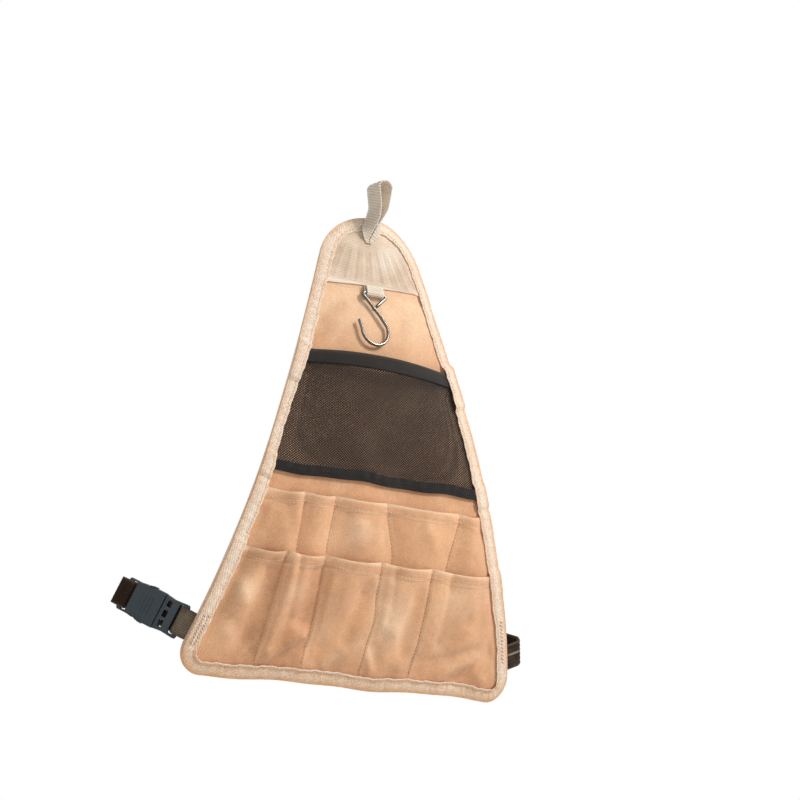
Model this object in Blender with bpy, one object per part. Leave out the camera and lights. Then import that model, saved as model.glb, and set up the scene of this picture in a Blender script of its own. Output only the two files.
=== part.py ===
"""Camping utensil storage bag.

A domed canvas organiser that hangs from one webbing loop. It has a bound edge, a ribbed top patch,
a wire hook on a tab, a net pocket, two rows of canvas pockets, and at each lower side a webbing
strap with a side-release buckle that closes round a pole.

The bag is drawn flat: u runs across it and v runs down it from the top of the dome. worn() bends
that flat pattern to the hanging shape, and n is the height over the front face of the back panel.
Sizes are in metres. The origin is the inside top of the hanging loop. +Z is up, the front is -Y.
"""

import math
from collections import namedtuple

import bmesh
import bpy
from mathutils import Matrix, Vector

MM = 0.001

# Layers of cloth
GAP = 0.3 * MM
PANEL_THICKNESS = 1.6 * MM
CANVAS_THICKNESS = 0.8 * MM
HEM_THICKNESS = 1.4 * MM
TAPE_THICKNESS = 0.8 * MM
PATCH_THICKNESS = 0.8 * MM
NET_THICKNESS = 0.8 * MM
WEBBING_THICKNESS = 1.4 * MM
LAYER_PLAY = 0.6 * MM
STRAP_PLAY = 0.6 * MM

# Outline of the bag
BAG_HEIGHT = 440 * MM
DOME_RADIUS = 58 * MM
SIDE_SLOPE = 0.32
CORNER_RADIUS = 20 * MM
BINDING_WIDTH = 15 * MM

# Hanging shape: the middle comes forward and the side edges lie back
BELLY = 38 * MM
SIDE_BOW = 7.5 * MM

# Top patch, hanging loop and hook tab
PATCH_DEPTH = 69 * MM
LOOP_RISE = 33 * MM
LOOP_WIDTH = 22 * MM
LOOP_THICKNESS = 1.2 * MM
LOOP_BEND_RADIUS = 7 * MM
LOOP_FOOT_WIDTH = 6.5 * MM
LOOP_FOOT_DEPTH = 26 * MM
LOOP_FOOT_ASIDE = 5 * MM
LOOP_STAND_OFF = 13.5 * MM
TAB_WIDTH = 18.8 * MM
TAB_DEPTH = 11 * MM
TAB_THICKNESS = 1.0 * MM

# Wire hook, which hangs a little to the left with its tab
HOOK_ASIDE = 5 * MM
WIRE_DIAMETER = 3 * MM
HOOK_EYE_WIDTH = 32.5 * MM
HOOK_BEND_RADIUS = 1.8 * MM
HOOK_EYE_DEPTH = 15 * MM
HOOK_THROAT_RADIUS = 14.5 * MM
HOOK_LENGTH = 53 * MM

# Net pocket
NET_TOP = 141.5 * MM
NET_HEIGHT = 117 * MM
NET_DEPTH = 11 * MM
NET_TOP_BAND = 13 * MM
NET_FOOT_BAND = 9 * MM

# Canvas pockets
BARE_STRIP = 16.5 * MM
ROW_STEP = 53.5 * MM
HEM_DEPTH = 10 * MM
UPPER_DEPTH = 9 * MM
LOWER_DEPTH = 8.5 * MM
MOUTH_DIP = 2.5 * MM
FULL_WIDTH = 50 * MM
UPPER_DIVIDERS = ((-80 * MM, -83 * MM), (-48 * MM, -52 * MM), (8 * MM, 18 * MM), (90 * MM, 80 * MM))
LOWER_DIVIDERS = ((-93 * MM, -105 * MM), (-52 * MM, -58 * MM), (4 * MM, 4 * MM), (59 * MM, 59 * MM))

# Side straps
STRAP_WIDTH = 25 * MM
STRAP_RISE = 38 * MM
SEWN_LENGTH = 40 * MM
STRAP_LEAD = 6 * MM
POLE_RADIUS = 11 * MM
POLE_PLAY = 1.0 * MM

# The left buckle lies outside its pole, and the right one behind the bag with its pole outside it
LEFT_ANGLE = math.radians(42)
LEFT_POLE_DISTANCE = 40 * MM
RIGHT_ANGLE = math.radians(74)
RIGHT_POLE_DISTANCE = 12 * MM
RIGHT_INSET = 4.5 * MM

# Buckle, along its own length
BUCKLE_WIDTH = 33 * MM
BUCKLE_HEIGHT = 9.6 * MM
FRAME_LENGTH = 23 * MM
FRAME_HEIGHT = 4.4 * MM
FRAME_WAIST = 0.9 * MM
FLANGE_HEIGHT = 8.8 * MM
FLANGE_LENGTH = 3 * MM
BAR_LENGTH = 4 * MM
SLOT_LENGTH = 5 * MM
SLOT_PLAY = 0.8 * MM
SLOT_CORNER = 1.2 * MM
WINDOW_LENGTH = 4 * MM
WINDOW_WIDTH = 6.5 * MM
WINDOW_PITCH = 9 * MM
WINDOW_CORNER = 0.9 * MM
GUIDE_LENGTH = 21 * MM
GUIDE_WIDTH = 4.4 * MM
GUIDE_HEIGHT = 2.8 * MM
SOCKET_LENGTH = 27 * MM
SOCKET_WALL = 1.6 * MM
SOCKET_CAVITY_HEIGHT = 4.8 * MM
SOCKET_RAIL = 9.5 * MM
SOCKET_WINDOW = 11.5 * MM
SOCKET_SCALLOP = 2.2 * MM
SOCKET_TAPER = 1.3 * MM
SOCKET_END_WALL = 3 * MM
SOCKET_TAIL_HEIGHT = 5 * MM
GRIP_RIBS = 5
GRIP_DEPTH = 0.5 * MM
GRIP_HALF = 8 * MM
MOUTH_PLAY = 0.5 * MM
ARM_ROOT_RADIUS = 1.8 * MM
ARM_ROOT_INSET = 0.8 * MM
ARM_BEAM = 2.4 * MM
ARM_CATCH = 2.5 * MM
ARM_PLAY = 0.5 * MM
PAD_RIBS = 3
PAD_RIB_DEPTH = 0.25 * MM

# Colours, roughness and metallic value of each finish
FINISHES = {
    "canvas": ((0.72, 0.46, 0.27, 1), 0.85, 0.0),
    "binding": ((0.74, 0.62, 0.46, 1), 0.85, 0.0),
    "patch": ((0.62, 0.53, 0.42, 1), 0.85, 0.0),
    "loop_webbing": ((0.58, 0.54, 0.47, 1), 0.8, 0.0),
    "net": ((0.025, 0.022, 0.02, 1), 0.8, 0.0),
    "net_tape": ((0.035, 0.033, 0.033, 1), 0.8, 0.0),
    "strap_webbing": ((0.03, 0.026, 0.022, 1), 0.7, 0.0),
    "buckle": ((0.02, 0.03, 0.035, 1), 0.35, 0.0),
    "wire": ((0.62, 0.6, 0.57, 1), 0.2, 1.0),
}

# Values that follow from the driving sizes
SIDE_ANGLE = math.atan(SIDE_SLOPE)
NET_FOOT = NET_TOP + NET_HEIGHT
UPPER_MOUTH = NET_FOOT + BARE_STRIP
LOWER_MOUTH = UPPER_MOUTH + ROW_STEP
EDGE_INSET = TAPE_THICKNESS + GAP
BACK_OF_BINDING = -(PANEL_THICKNESS + GAP + TAPE_THICKNESS)
CORNER_V = BAG_HEIGHT - CORNER_RADIUS
STRAP_DOWN = BAG_HEIGHT - STRAP_RISE


def clear_scene():
    for item in list(bpy.data.objects):
        bpy.data.objects.remove(item, do_unlink=True)


def finish(name):
    """The Principled BSDF material of one of the finishes."""
    made = bpy.data.materials.get(name)
    if made:
        return made
    colour, roughness, metallic = FINISHES[name]
    made = bpy.data.materials.new(name)
    made.use_nodes = True
    shader = made.node_tree.nodes["Principled BSDF"]
    shader.inputs["Base Color"].default_value = colour
    shader.inputs["Roughness"].default_value = roughness
    shader.inputs["Metallic"].default_value = metallic
    made.diffuse_color = colour
    return made


def add_object(name, mesh, material):
    made = bpy.data.objects.new(name, mesh)
    bpy.context.scene.collection.objects.link(made)
    made.data.materials.append(finish(material))
    return made


def solid(name, points, faces, material, sharp=math.radians(35)):
    """One closed body from points and faces, facing out."""
    mesh = bpy.data.meshes.new(name)
    mesh.from_pydata([tuple(point) for point in points], [], faces)
    work = bmesh.new()
    work.from_mesh(mesh)
    bmesh.ops.recalc_face_normals(work, faces=work.faces)
    work.to_mesh(mesh)
    work.free()
    mesh.shade_smooth()
    mesh.set_sharp_from_angle(angle=sharp)
    return add_object(name, mesh, material)


def between(start, end, count):
    """count + 1 even steps from start to end."""
    return [start + (end - start) * i / count for i in range(count + 1)]


def smooth(x):
    x = min(1.0, max(0.0, x))
    return x * x * (3 - 2 * x)


# Flat outline

def side_line(v):
    """Half width of the straight side, carried on past its ends."""
    tangent_u = DOME_RADIUS * math.cos(SIDE_ANGLE)
    tangent_v = DOME_RADIUS * (1 - math.sin(SIDE_ANGLE))
    return tangent_u + SIDE_SLOPE * (v - tangent_v)


def corner_u():
    """Half way across to the centre of a bottom corner's arc."""
    return side_line(CORNER_V) - CORNER_RADIUS / math.cos(SIDE_ANGLE)


def half_width(v, inset=0.0):
    """Half width of the outline at v, with the outline drawn in by inset."""
    dome = DOME_RADIUS - inset
    corner = CORNER_RADIUS - inset
    if v < DOME_RADIUS - dome * math.sin(SIDE_ANGLE):
        return math.sqrt(max(0.0, dome ** 2 - (DOME_RADIUS - v) ** 2))
    if v > CORNER_V - corner * math.sin(SIDE_ANGLE):
        return corner_u() + math.sqrt(max(0.0, corner ** 2 - (v - CORNER_V) ** 2))
    return side_line(v) - inset / math.cos(SIDE_ANGLE)


def dome_rows(inset, steps=7, flat=math.radians(6)):
    """Rows down the dome, from a short flat at its top to the straight side."""
    dome = DOME_RADIUS - inset
    return [DOME_RADIUS - dome * math.cos(a) for a in between(flat, math.pi / 2 - SIDE_ANGLE, steps)]


def corner_rows(inset, steps=6):
    corner = CORNER_RADIUS - inset
    return [CORNER_V + corner * math.sin(b) for b in between(-SIDE_ANGLE, math.pi / 2, steps)]


def rows_from(start, end, inset, step):
    """Rows from start to end that follow the round stretches of the outline."""
    marks = [v for v in dome_rows(inset) + corner_rows(inset) if start < v < end]
    marks = [start] + marks + [end]
    rows = [start]
    for low, high in zip(marks, marks[1:]):
        count = max(1, round((high - low) / step))
        rows += between(low, high, count)[1:]
    return [v for i, v in enumerate(rows) if i == 0 or v - rows[i - 1] > 0.2 * MM]


# Hanging shape

def surface(u, v):
    """The panel's front face, and its unit normal to the front."""
    gain = BELLY * 1.5 * math.sqrt(3)
    t = v / BAG_HEIGHT
    reach = side_line(v)
    bow = SIDE_BOW * (u / reach) ** 2
    point = Vector((u, LOOP_STAND_OFF - gain * (t - t ** 3) + bow, -LOOP_RISE - v))
    slope_u = 2 * bow / u if abs(u) > 1e-9 else 0.0
    slope_v = -gain * (1 - 3 * t * t) / BAG_HEIGHT - 2 * bow * SIDE_SLOPE / reach
    normal = Vector((slope_u, -1.0, -slope_v)).normalized()
    return point, normal


def worn(u, v, n):
    point, normal = surface(u, v)
    return point + normal * n


# Layers that lie on one another under the edge binding

NET_SEAT = 2 * GAP + TAPE_THICKNESS
PATCH_TOP = GAP + PATCH_THICKNESS
NET_BAND_TOP = NET_SEAT + NET_THICKNESS + 2 * GAP + TAPE_THICKNESS
NET_FRONT = GAP + NET_THICKNESS
NET_FOOT_TOP = NET_FRONT + LAYER_PLAY + TAPE_THICKNESS
UPPER_FRONT = GAP + CANVAS_THICKNESS
UPPER_HEM_FRONT = GAP + HEM_THICKNESS
LOWER_FRONT = UPPER_FRONT + LAYER_PLAY + CANVAS_THICKNESS
LOWER_HEM_FRONT = UPPER_FRONT + LAYER_PLAY + HEM_THICKNESS

STACK = (
    (0.0, PATCH_DEPTH, PATCH_TOP),
    (NET_TOP, NET_TOP + 2 * NET_TOP_BAND, NET_BAND_TOP),
    (NET_TOP, NET_FOOT, NET_FRONT),
    (NET_FOOT - NET_FOOT_BAND, NET_FOOT, NET_FOOT_TOP),
    (UPPER_MOUTH, UPPER_MOUTH + HEM_DEPTH, UPPER_HEM_FRONT),
    (UPPER_MOUTH, BAG_HEIGHT, UPPER_FRONT),
    (LOWER_MOUTH, LOWER_MOUTH + HEM_DEPTH, LOWER_HEM_FRONT),
    (LOWER_MOUTH, BAG_HEIGHT, LOWER_FRONT),
)
STACK_LEAD = 1.5 * MM
STACK_RAMP = 6 * MM
LEAF_DROP = BINDING_WIDTH * math.sin(SIDE_ANGLE)


def stack(v):
    """Height of the layers under the whole width of the binding's front leaf at v."""
    heights = [0.0]
    for start, end, top in STACK:
        near = smooth((v - start + LEAF_DROP + STACK_LEAD + STACK_RAMP) / STACK_RAMP)
        far = smooth((end - v + STACK_LEAD + STACK_RAMP) / STACK_RAMP)
        heights.append(top * min(near, far))
    return max(heights)


def stack_marks():
    """Rows at which the height of the layers starts or ends a ramp."""
    marks = []
    for start, end, _ in STACK:
        for share in (0.0, 0.5, 1.0):
            marks.append(start - LEAF_DROP - STACK_LEAD - STACK_RAMP * share)
            marks.append(end + STACK_LEAD + STACK_RAMP * share)
    return sorted(marks)


# Cloth solids

def grid_solid(name, grid, material):
    """A closed sheet from a grid of (u, v, back n, front n)."""
    rows = len(grid)
    columns = len(grid[0])
    points = [worn(u, v, back) for row in grid for u, v, back, _ in row]
    points += [worn(u, v, front) for row in grid for u, v, _, front in row]
    top = rows * columns

    def at(i, j, layer):
        return layer * top + i * columns + j

    faces = []
    for i in range(rows - 1):
        for j in range(columns - 1):
            for layer in (0, 1):
                corners = [at(i, j, layer), at(i, j + 1, layer), at(i + 1, j + 1, layer), at(i + 1, j, layer)]
                faces.append(corners if layer else corners[::-1])
    rim = [(0, j) for j in range(columns)]
    rim += [(i, columns - 1) for i in range(1, rows)]
    rim += [(rows - 1, j) for j in range(columns - 2, -1, -1)]
    rim += [(i, 0) for i in range(rows - 2, 0, -1)]
    for (i, j), (k, m) in zip(rim, rim[1:] + rim[:1]):
        faces.append((at(i, j, 0), at(k, m, 0), at(k, m, 1), at(i, j, 1)))
    return solid(name, points, faces, material)


def flat_sheet(name, start, end, inset, back, front, material, columns, step):
    """A plain sheet that follows the outline between two rows."""
    grid = []
    for v in rows_from(start, end, inset, step):
        reach = half_width(v, inset)
        grid.append([(u, v, back, front) for u in between(-reach, reach, columns)])
    return grid_solid(name, grid, material)


def make_back_panel():
    top = dome_rows(EDGE_INSET)[0]
    return flat_sheet("back_panel", top, BAG_HEIGHT - EDGE_INSET, EDGE_INSET, -PANEL_THICKNESS, 0.0,
                      "canvas", columns=14, step=22 * MM)


def outline_stations():
    """(u, v, inward u, inward v) all the way round the outline."""
    right = []
    for a in between(0.0, math.pi / 2 - SIDE_ANGLE, 12):
        right.append((DOME_RADIUS * math.sin(a), DOME_RADIUS * (1 - math.cos(a)), -math.sin(a), math.cos(a)))
    start = right[-1][1]
    end = CORNER_V - CORNER_RADIUS * math.sin(SIDE_ANGLE)
    marks = [start] + [v for v in stack_marks() if start + MM < v < end - MM] + [end]
    rows = []
    for low, high in zip(marks, marks[1:]):
        rows += between(low, high, max(1, round((high - low) / (24 * MM))))[1:]
    rows = [v for i, v in enumerate(rows) if i == 0 or v - rows[i - 1] > 1.2 * MM]
    for v in rows:
        right.append((side_line(v), v, -math.cos(SIDE_ANGLE), math.sin(SIDE_ANGLE)))
    for b in between(-SIDE_ANGLE, math.pi / 2, 8)[1:]:
        right.append((corner_u() + CORNER_RADIUS * math.cos(b), CORNER_V + CORNER_RADIUS * math.sin(b),
                      -math.cos(b), -math.sin(b)))
    for u in between(corner_u(), 0.0, 7)[1:]:
        right.append((u, BAG_HEIGHT, 0.0, -1.0))
    left = [(-u, v, -inward_u, inward_v) for u, v, inward_u, inward_v in right[1:-1]]
    return right + left[::-1]


def make_edge_binding():
    """Tape folded round the panel's edge, over the side edges of every layer."""
    leaf = between(BINDING_WIDTH, EDGE_INSET, 2)
    back = BACK_OF_BINDING
    points = []
    stations = outline_stations()
    for u, v, inward_u, inward_v in stations:
        front = GAP + stack(v)
        section = [(reach, front + TAPE_THICKNESS) for reach in leaf]
        section.append((0.0, front + TAPE_THICKNESS / 2))
        section.append((0.0, back + TAPE_THICKNESS / 2))
        section.append((EDGE_INSET, back))
        section.append((BINDING_WIDTH, back))
        section.append((BINDING_WIDTH, back + TAPE_THICKNESS))
        section.append((TAPE_THICKNESS, back + TAPE_THICKNESS))
        section.append((TAPE_THICKNESS, front))
        section += [(reach, front) for reach in leaf[-2::-1]]
        points += [worn(u + inward_u * reach, v + inward_v * reach, n) for reach, n in section]
    return solid("edge_binding", points, ring_faces(len(stations), len(section), closed=True), "binding")


def ring_faces(stations, around, closed=False):
    """Quads between stations of one section; open ends are capped."""
    faces = []
    for i in range(stations if closed else stations - 1):
        k = (i + 1) % stations
        for j in range(around):
            m = (j + 1) % around
            faces.append((i * around + j, i * around + m, k * around + m, k * around + j))
    if not closed:
        faces.append(tuple(range(around))[::-1])
        faces.append(tuple((stations - 1) * around + j for j in range(around)))
    return faces


def make_top_patch():
    inset = EDGE_INSET
    top = dome_rows(inset)[0]
    return flat_sheet("top_patch", top, PATCH_DEPTH, inset, GAP, PATCH_TOP, "patch", columns=10, step=12 * MM)


# Pockets

def divider_u(divider, v):
    """Where a divider lies at v; it is drawn between the two mouth rows and the foot."""
    mouth_u, low_u = divider
    return mouth_u + (low_u - mouth_u) * smooth((v - UPPER_MOUTH) / (BAG_HEIGHT - UPPER_MOUTH))


def upper_divider_u(divider, v):
    mouth_u, low_u = divider
    return mouth_u + (low_u - mouth_u) * smooth((v - UPPER_MOUTH) / ROW_STEP)


def seam_u(v):
    """The side seam, just inside the binding."""
    return half_width(v, BINDING_WIDTH + 1.5 * MM)


def compartments(v, dividers, where):
    return [-seam_u(v)] + [where(divider, v) for divider in dividers] + [seam_u(v)]


def fall(v, mouth):
    """How the fullness of a pocket falls away from its mouth to its foot."""
    foot = BAG_HEIGHT - BINDING_WIDTH - 2 * MM
    return max(0.0, 1 - max(0.0, (v - mouth) / (foot - mouth)) ** 1.3)


def arch(x):
    return math.sin(math.pi * min(1.0, max(0.0, x)))


def upper_bulge(u, v):
    edges = compartments(v, UPPER_DIVIDERS, upper_divider_u)
    for low, high in zip(edges, edges[1:]):
        if low <= u <= high:
            width = math.sqrt(min(1.0, (high - low) / FULL_WIDTH))
            return UPPER_DEPTH * width * fall(v, UPPER_MOUTH) * arch((u - low) / (high - low))
    return 0.0


def upper_front(u, v):
    """Front face of the upper layer without its hem."""
    return UPPER_FRONT + upper_bulge(u, v)


def pocket_columns(v, dividers, where, inset, steps):
    """u of each column, and how far it lies across its compartment."""
    edges = compartments(v, dividers, where)
    columns = [(-half_width(v, inset), 0.0)]
    for low, high in zip(edges, edges[1:]):
        for share in between(0.0, 1.0, steps)[:-1]:
            columns.append((low + (high - low) * share, share))
    columns.append((edges[-1], 0.0))
    columns.append((half_width(v, inset), 0.0))
    return columns


def pocket_rows(mouth, inset, step):
    """Rows of a canvas pocket: its hem, then the rest down to the foot."""
    hem = [mouth, mouth + HEM_DEPTH * 0.5, mouth + HEM_DEPTH, mouth + HEM_DEPTH + 1.0 * MM]
    return hem + rows_from(hem[-1], BAG_HEIGHT - inset, inset, step)[1:]


def make_upper_pocket():
    inset = EDGE_INSET
    grid = []
    for v in pocket_rows(UPPER_MOUTH, inset, 16 * MM):
        thickness = HEM_THICKNESS if v <= UPPER_MOUTH + HEM_DEPTH else CANVAS_THICKNESS
        row = []
        for u, share in pocket_columns(v, UPPER_DIVIDERS, upper_divider_u, inset, 6):
            back = GAP + upper_bulge(u, v)
            dip = MOUTH_DIP * arch(share) if v < UPPER_MOUTH + HEM_DEPTH * 0.9 else 0.0
            row.append((u, v + dip, back, back + thickness))
        grid.append(row)
    return grid_solid("upper_pocket", grid, "canvas")


def make_lower_pocket():
    inset = EDGE_INSET
    grid = []
    for v in pocket_rows(LOWER_MOUTH, inset, 15 * MM):
        thickness = HEM_THICKNESS if v <= LOWER_MOUTH + HEM_DEPTH else CANVAS_THICKNESS
        row = []
        columns = pocket_columns(v, LOWER_DIVIDERS, divider_u, inset, 7)
        for u, share in columns:
            bulge = LOWER_DEPTH * fall(v, LOWER_MOUTH) * arch(share)
            dip = MOUTH_DIP * arch(share) if v < LOWER_MOUTH + HEM_DEPTH * 0.9 else 0.0
            back = upper_front(u, v + dip) + LAYER_PLAY + bulge
            row.append((u, v + dip, back, back + thickness))
        grid.append(row)
    return grid_solid("lower_pocket", grid, "canvas")


def net_back(u, v):
    """Back face of the net: it stands off at the mouth for the tape behind it."""
    seam = seam_u(v)
    across = arch((u + seam) / (2 * seam))
    down = (v - NET_TOP) / (NET_HEIGHT - NET_FOOT_BAND)
    fullness = NET_DEPTH * max(0.0, 1 - max(0.0, down) ** 1.6) * across
    lift = (NET_SEAT - GAP) * (1 - smooth((v - NET_TOP - NET_TOP_BAND - MM) / NET_TOP_BAND))
    return GAP + lift + fullness


def net_columns(v, inset):
    seam = seam_u(v)
    return [-half_width(v, inset)] + between(-seam, seam, 16) + [half_width(v, inset)]


def make_mesh_pocket():
    inset = EDGE_INSET
    under_band = NET_TOP + NET_TOP_BAND + MM
    rows = between(NET_TOP + TAPE_THICKNESS + GAP, under_band, 2)
    rows += between(under_band, under_band + NET_TOP_BAND, 2)[1:]
    rows += between(rows[-1], NET_FOOT - NET_FOOT_BAND, 5)[1:] + [NET_FOOT]
    grid = [[(u, v, net_back(u, v), net_back(u, v) + NET_THICKNESS) for u in net_columns(v, inset)]
            for v in rows]
    return grid_solid("mesh_pocket", grid, "net")


def make_mesh_top_band():
    """Tape folded over the net's mouth."""
    points = []
    low = NET_TOP + NET_TOP_BAND
    columns = net_columns(NET_TOP, EDGE_INSET)
    middle = NET_TOP + NET_TOP_BAND * 0.5
    front_step = NET_THICKNESS + GAP
    back_step = -GAP - TAPE_THICKNESS
    section = (
        (low, front_step), (low, front_step + TAPE_THICKNESS), (middle, front_step + TAPE_THICKNESS),
        (NET_TOP + TAPE_THICKNESS, front_step + TAPE_THICKNESS), (NET_TOP, front_step),
        (NET_TOP, -GAP), (NET_TOP + TAPE_THICKNESS, back_step), (middle, back_step), (low, back_step),
        (low, -GAP), (middle, -GAP), (NET_TOP + TAPE_THICKNESS, -GAP),
        (NET_TOP + TAPE_THICKNESS, front_step), (middle, front_step))
    for u in columns:
        reach = u / half_width(NET_TOP, EDGE_INSET)
        for v, step in section:
            across = reach * half_width(v, EDGE_INSET)
            points.append(worn(across, v, net_back(across, v) + step))
    return solid("mesh_top_band", points, ring_faces(len(columns), len(section)), "net_tape")


def make_mesh_bottom_band():
    inset = EDGE_INSET
    grid = []
    for v in between(NET_FOOT - NET_FOOT_BAND, NET_FOOT, 2):
        row = []
        for u in net_columns(v, inset):
            back = net_back(u, v) + NET_THICKNESS + LAYER_PLAY
            row.append((u, v, back, back + TAPE_THICKNESS))
        grid.append(row)
    return grid_solid("mesh_bottom_band", grid, "net_tape")


# Ribbons of webbing

def ribbon(name, stations, thickness, material):
    """Webbing through (centre, unit vector across, width, unit normal)."""
    points = []
    for centre, across, width, normal in stations:
        for side, face in ((-0.5, -0.5), (0.5, -0.5), (0.5, 0.5), (-0.5, 0.5)):
            points.append(centre + across * (width * side) + normal * (thickness * face))
    return solid(name, points, ring_faces(len(stations), 4), material)


def loop_leg(hand):
    """Stations of the right (1) or left (-1) leg, from its foot on the patch to the arc over the top."""
    seat = PATCH_TOP + GAP + LOOP_THICKNESS / 2
    foot_x = LOOP_FOOT_WIDTH / 2 + GAP
    leg = []
    for v in (LOOP_FOOT_DEPTH, LOOP_FOOT_DEPTH * 0.66):
        point, normal = surface(foot_x * hand - LOOP_FOOT_ASIDE, v)
        leg.append((point + normal * seat, Vector((hand, 0, 0)), LOOP_FOOT_WIDTH, normal))
    turns = (
        (0.30, -LOOP_FOOT_DEPTH * 0.40, -LOOP_WIDTH * 0.05),
        (0.70, -LOOP_FOOT_DEPTH * 0.12, -LOOP_WIDTH * 0.02),
        (1.00, LOOP_FOOT_DEPTH * 0.15, 0.0),
    )
    for turn, rise, forward in turns:
        angle = turn * math.pi / 2
        across = Vector((math.cos(angle) * hand, math.sin(angle), 0))
        normal = Vector((math.sin(angle) * hand, -math.cos(angle), 0))
        width = LOOP_FOOT_WIDTH + (LOOP_WIDTH - LOOP_FOOT_WIDTH) * turn
        x = (foot_x + (LOOP_BEND_RADIUS - foot_x) * turn) * hand - LOOP_FOOT_ASIDE * (1 - turn)
        leg.append((Vector((x, forward, rise - LOOP_RISE)), across, width, normal))
    return leg


def make_hanging_loop():
    """Two legs rise from a narrow foot on the patch, turn a quarter and meet over the top."""
    top_z = -LOOP_BEND_RADIUS + LOOP_THICKNESS / 2
    arc = []
    for a in between(0.0, math.pi, 8):
        normal = Vector((math.cos(a), 0, math.sin(a)))
        arc.append((Vector((0, 0, top_z)) + normal * LOOP_BEND_RADIUS, Vector((0, 1, 0)), LOOP_WIDTH, normal))
    return ribbon("hanging_loop", loop_leg(1) + arc + loop_leg(-1)[::-1], LOOP_THICKNESS, "loop_webbing")


# Tab and wire hook

WIRE_RADIUS = WIRE_DIAMETER / 2
TAB_EYE_RADIUS = WIRE_RADIUS + GAP
WIRE_HEIGHT = GAP + TAB_THICKNESS + TAB_EYE_RADIUS
EYE_TOP_V = PATCH_DEPTH + GAP + TAB_DEPTH - TAB_THICKNESS - TAB_EYE_RADIUS


def hook_axes():
    """Where the hook turns in its tab, the way down along the panel and the way out of it."""
    base, out = surface(0.0, EYE_TOP_V)
    down = out.cross(Vector((1, 0, 0))).normalized()
    if down.z > 0:
        down = -down
    return base + out * WIRE_HEIGHT - Vector((HOOK_ASIDE, 0, 0)), down, out


def make_hook_tab():
    """Short webbing folded round the top of the hook's eye."""
    mid = TAB_EYE_RADIUS + TAB_THICKNESS / 2
    top = PATCH_DEPTH + GAP
    path = [(top, -mid, 0.0, -1.0), (EYE_TOP_V, -mid, 0.0, -1.0)]
    for a in between(-math.pi / 2, math.pi / 2, 8)[1:-1]:
        path.append((EYE_TOP_V + mid * math.cos(a), mid * math.sin(a), math.cos(a), math.sin(a)))
    path.append((EYE_TOP_V, mid, 0.0, 1.0))
    path.append((top + 1.5 * MM, mid * 0.6, 0.3, 1.0))
    path.append((top, -mid + TAB_THICKNESS + GAP, 0.3, 1.0))
    origin, down, out = hook_axes()
    stations = []
    for v, height, along, lift in path:
        centre = origin + down * (v - EYE_TOP_V) + out * height
        normal = (down * along + out * lift).normalized()
        stations.append((centre, Vector((1, 0, 0)), TAB_WIDTH, normal))
    return ribbon("hook_tab", stations, TAB_THICKNESS, "loop_webbing")


def arc_points(centre, radius, start, end, steps):
    return [(centre[0] + radius * math.cos(a), centre[1] + radius * math.sin(a))
            for a in between(start, end, steps)]


def round_corners(points, radius, steps=4):
    """A flat path with each inner corner turned into an arc."""
    path = [Vector(points[0])]
    for before, corner, after in zip(points, points[1:], points[2:]):
        corner = Vector(corner)
        into = (Vector(before) - corner).normalized()
        out = (Vector(after) - corner).normalized()
        half = into.angle(out) / 2
        centre = corner + (into + out).normalized() * (radius / math.sin(half))
        reach = radius / math.tan(half)
        first = corner + into * reach - centre
        sweep = first.angle_signed(corner + out * reach - centre)
        for share in between(0.0, 1.0, steps):
            turned = Matrix.Rotation(-sweep * share, 2) @ first
            path.append(centre + turned)
    path.append(Vector(points[-1]))
    return path


def hook_path():
    """The wire's middle line in its own plane: x across, y down from the eye's top."""
    half = HOOK_EYE_WIDTH / 2 - WIRE_RADIUS
    crossing = Vector((-HOOK_EYE_WIDTH * 0.03, HOOK_EYE_DEPTH))
    shank = (crossing - Vector((-half, 0))).normalized()
    throat_y = HOOK_LENGTH - WIRE_RADIUS - HOOK_THROAT_RADIUS
    throat = Vector((-HOOK_THROAT_RADIUS * 0.14, throat_y))
    side = Vector((throat.x + HOOK_THROAT_RADIUS, throat_y - HOOK_THROAT_RADIUS * 0.35))
    neck = crossing + shank * HOOK_EYE_DEPTH * 0.55
    meet = (Vector((half, 0)) - crossing).normalized()
    end = crossing + meet * (WIRE_DIAMETER + GAP) / math.sin(meet.angle(shank))
    corners = round_corners([end, (half, 0.0), (-half, 0.0), neck], HOOK_BEND_RADIUS)
    bow = round_corners([neck, side, (side.x, throat_y)], HOOK_THROAT_RADIUS * 0.45)[1:-1]
    arc = arc_points(throat, HOOK_THROAT_RADIUS, 0.0, math.pi, 12)
    tip = Vector((throat.x - HOOK_THROAT_RADIUS * 1.18, throat_y - HOOK_THROAT_RADIUS * 0.62))
    return corners + bow + [Vector(point) for point in arc] + [tip]


def tube(name, path, radius, sides, material):
    """A round bar along a path of points in one plane."""
    plane = None
    for before, here, after in zip(path, path[1:], path[2:]):
        plane = (here - before).cross(after - here)
        if plane.length > 1e-9:
            plane.normalize()
            break
    points = []
    for i, here in enumerate(path):
        before = path[max(0, i - 1)]
        after = path[min(len(path) - 1, i + 1)]
        along = (after - before).normalized()
        side = plane.cross(along).normalized()
        for a in between(0.0, 2 * math.pi, sides)[:-1]:
            points.append(here + side * (radius * math.cos(a)) + plane * (radius * math.sin(a)))
    return solid(name, points, ring_faces(len(path), sides), material, sharp=math.radians(50))


def make_wire_hook():
    origin, down, _ = hook_axes()
    path = [origin + Vector((1, 0, 0)) * point.x + down * point.y for point in hook_path()]
    hook = tube("wire_hook", path, WIRE_RADIUS, 8, "wire")
    hook.data.transform(Matrix.Translation(-origin))
    hook.location = origin
    return hook


# Side straps and buckles, made on the right and mirrored to the left

LAYER_ONE = PANEL_THICKNESS + GAP + TAPE_THICKNESS + STRAP_PLAY + WEBBING_THICKNESS / 2
LAYER_TWO = LAYER_ONE + WEBBING_THICKNESS + GAP
LAYER_THREE = LAYER_TWO + WEBBING_THICKNESS + GAP

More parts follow.
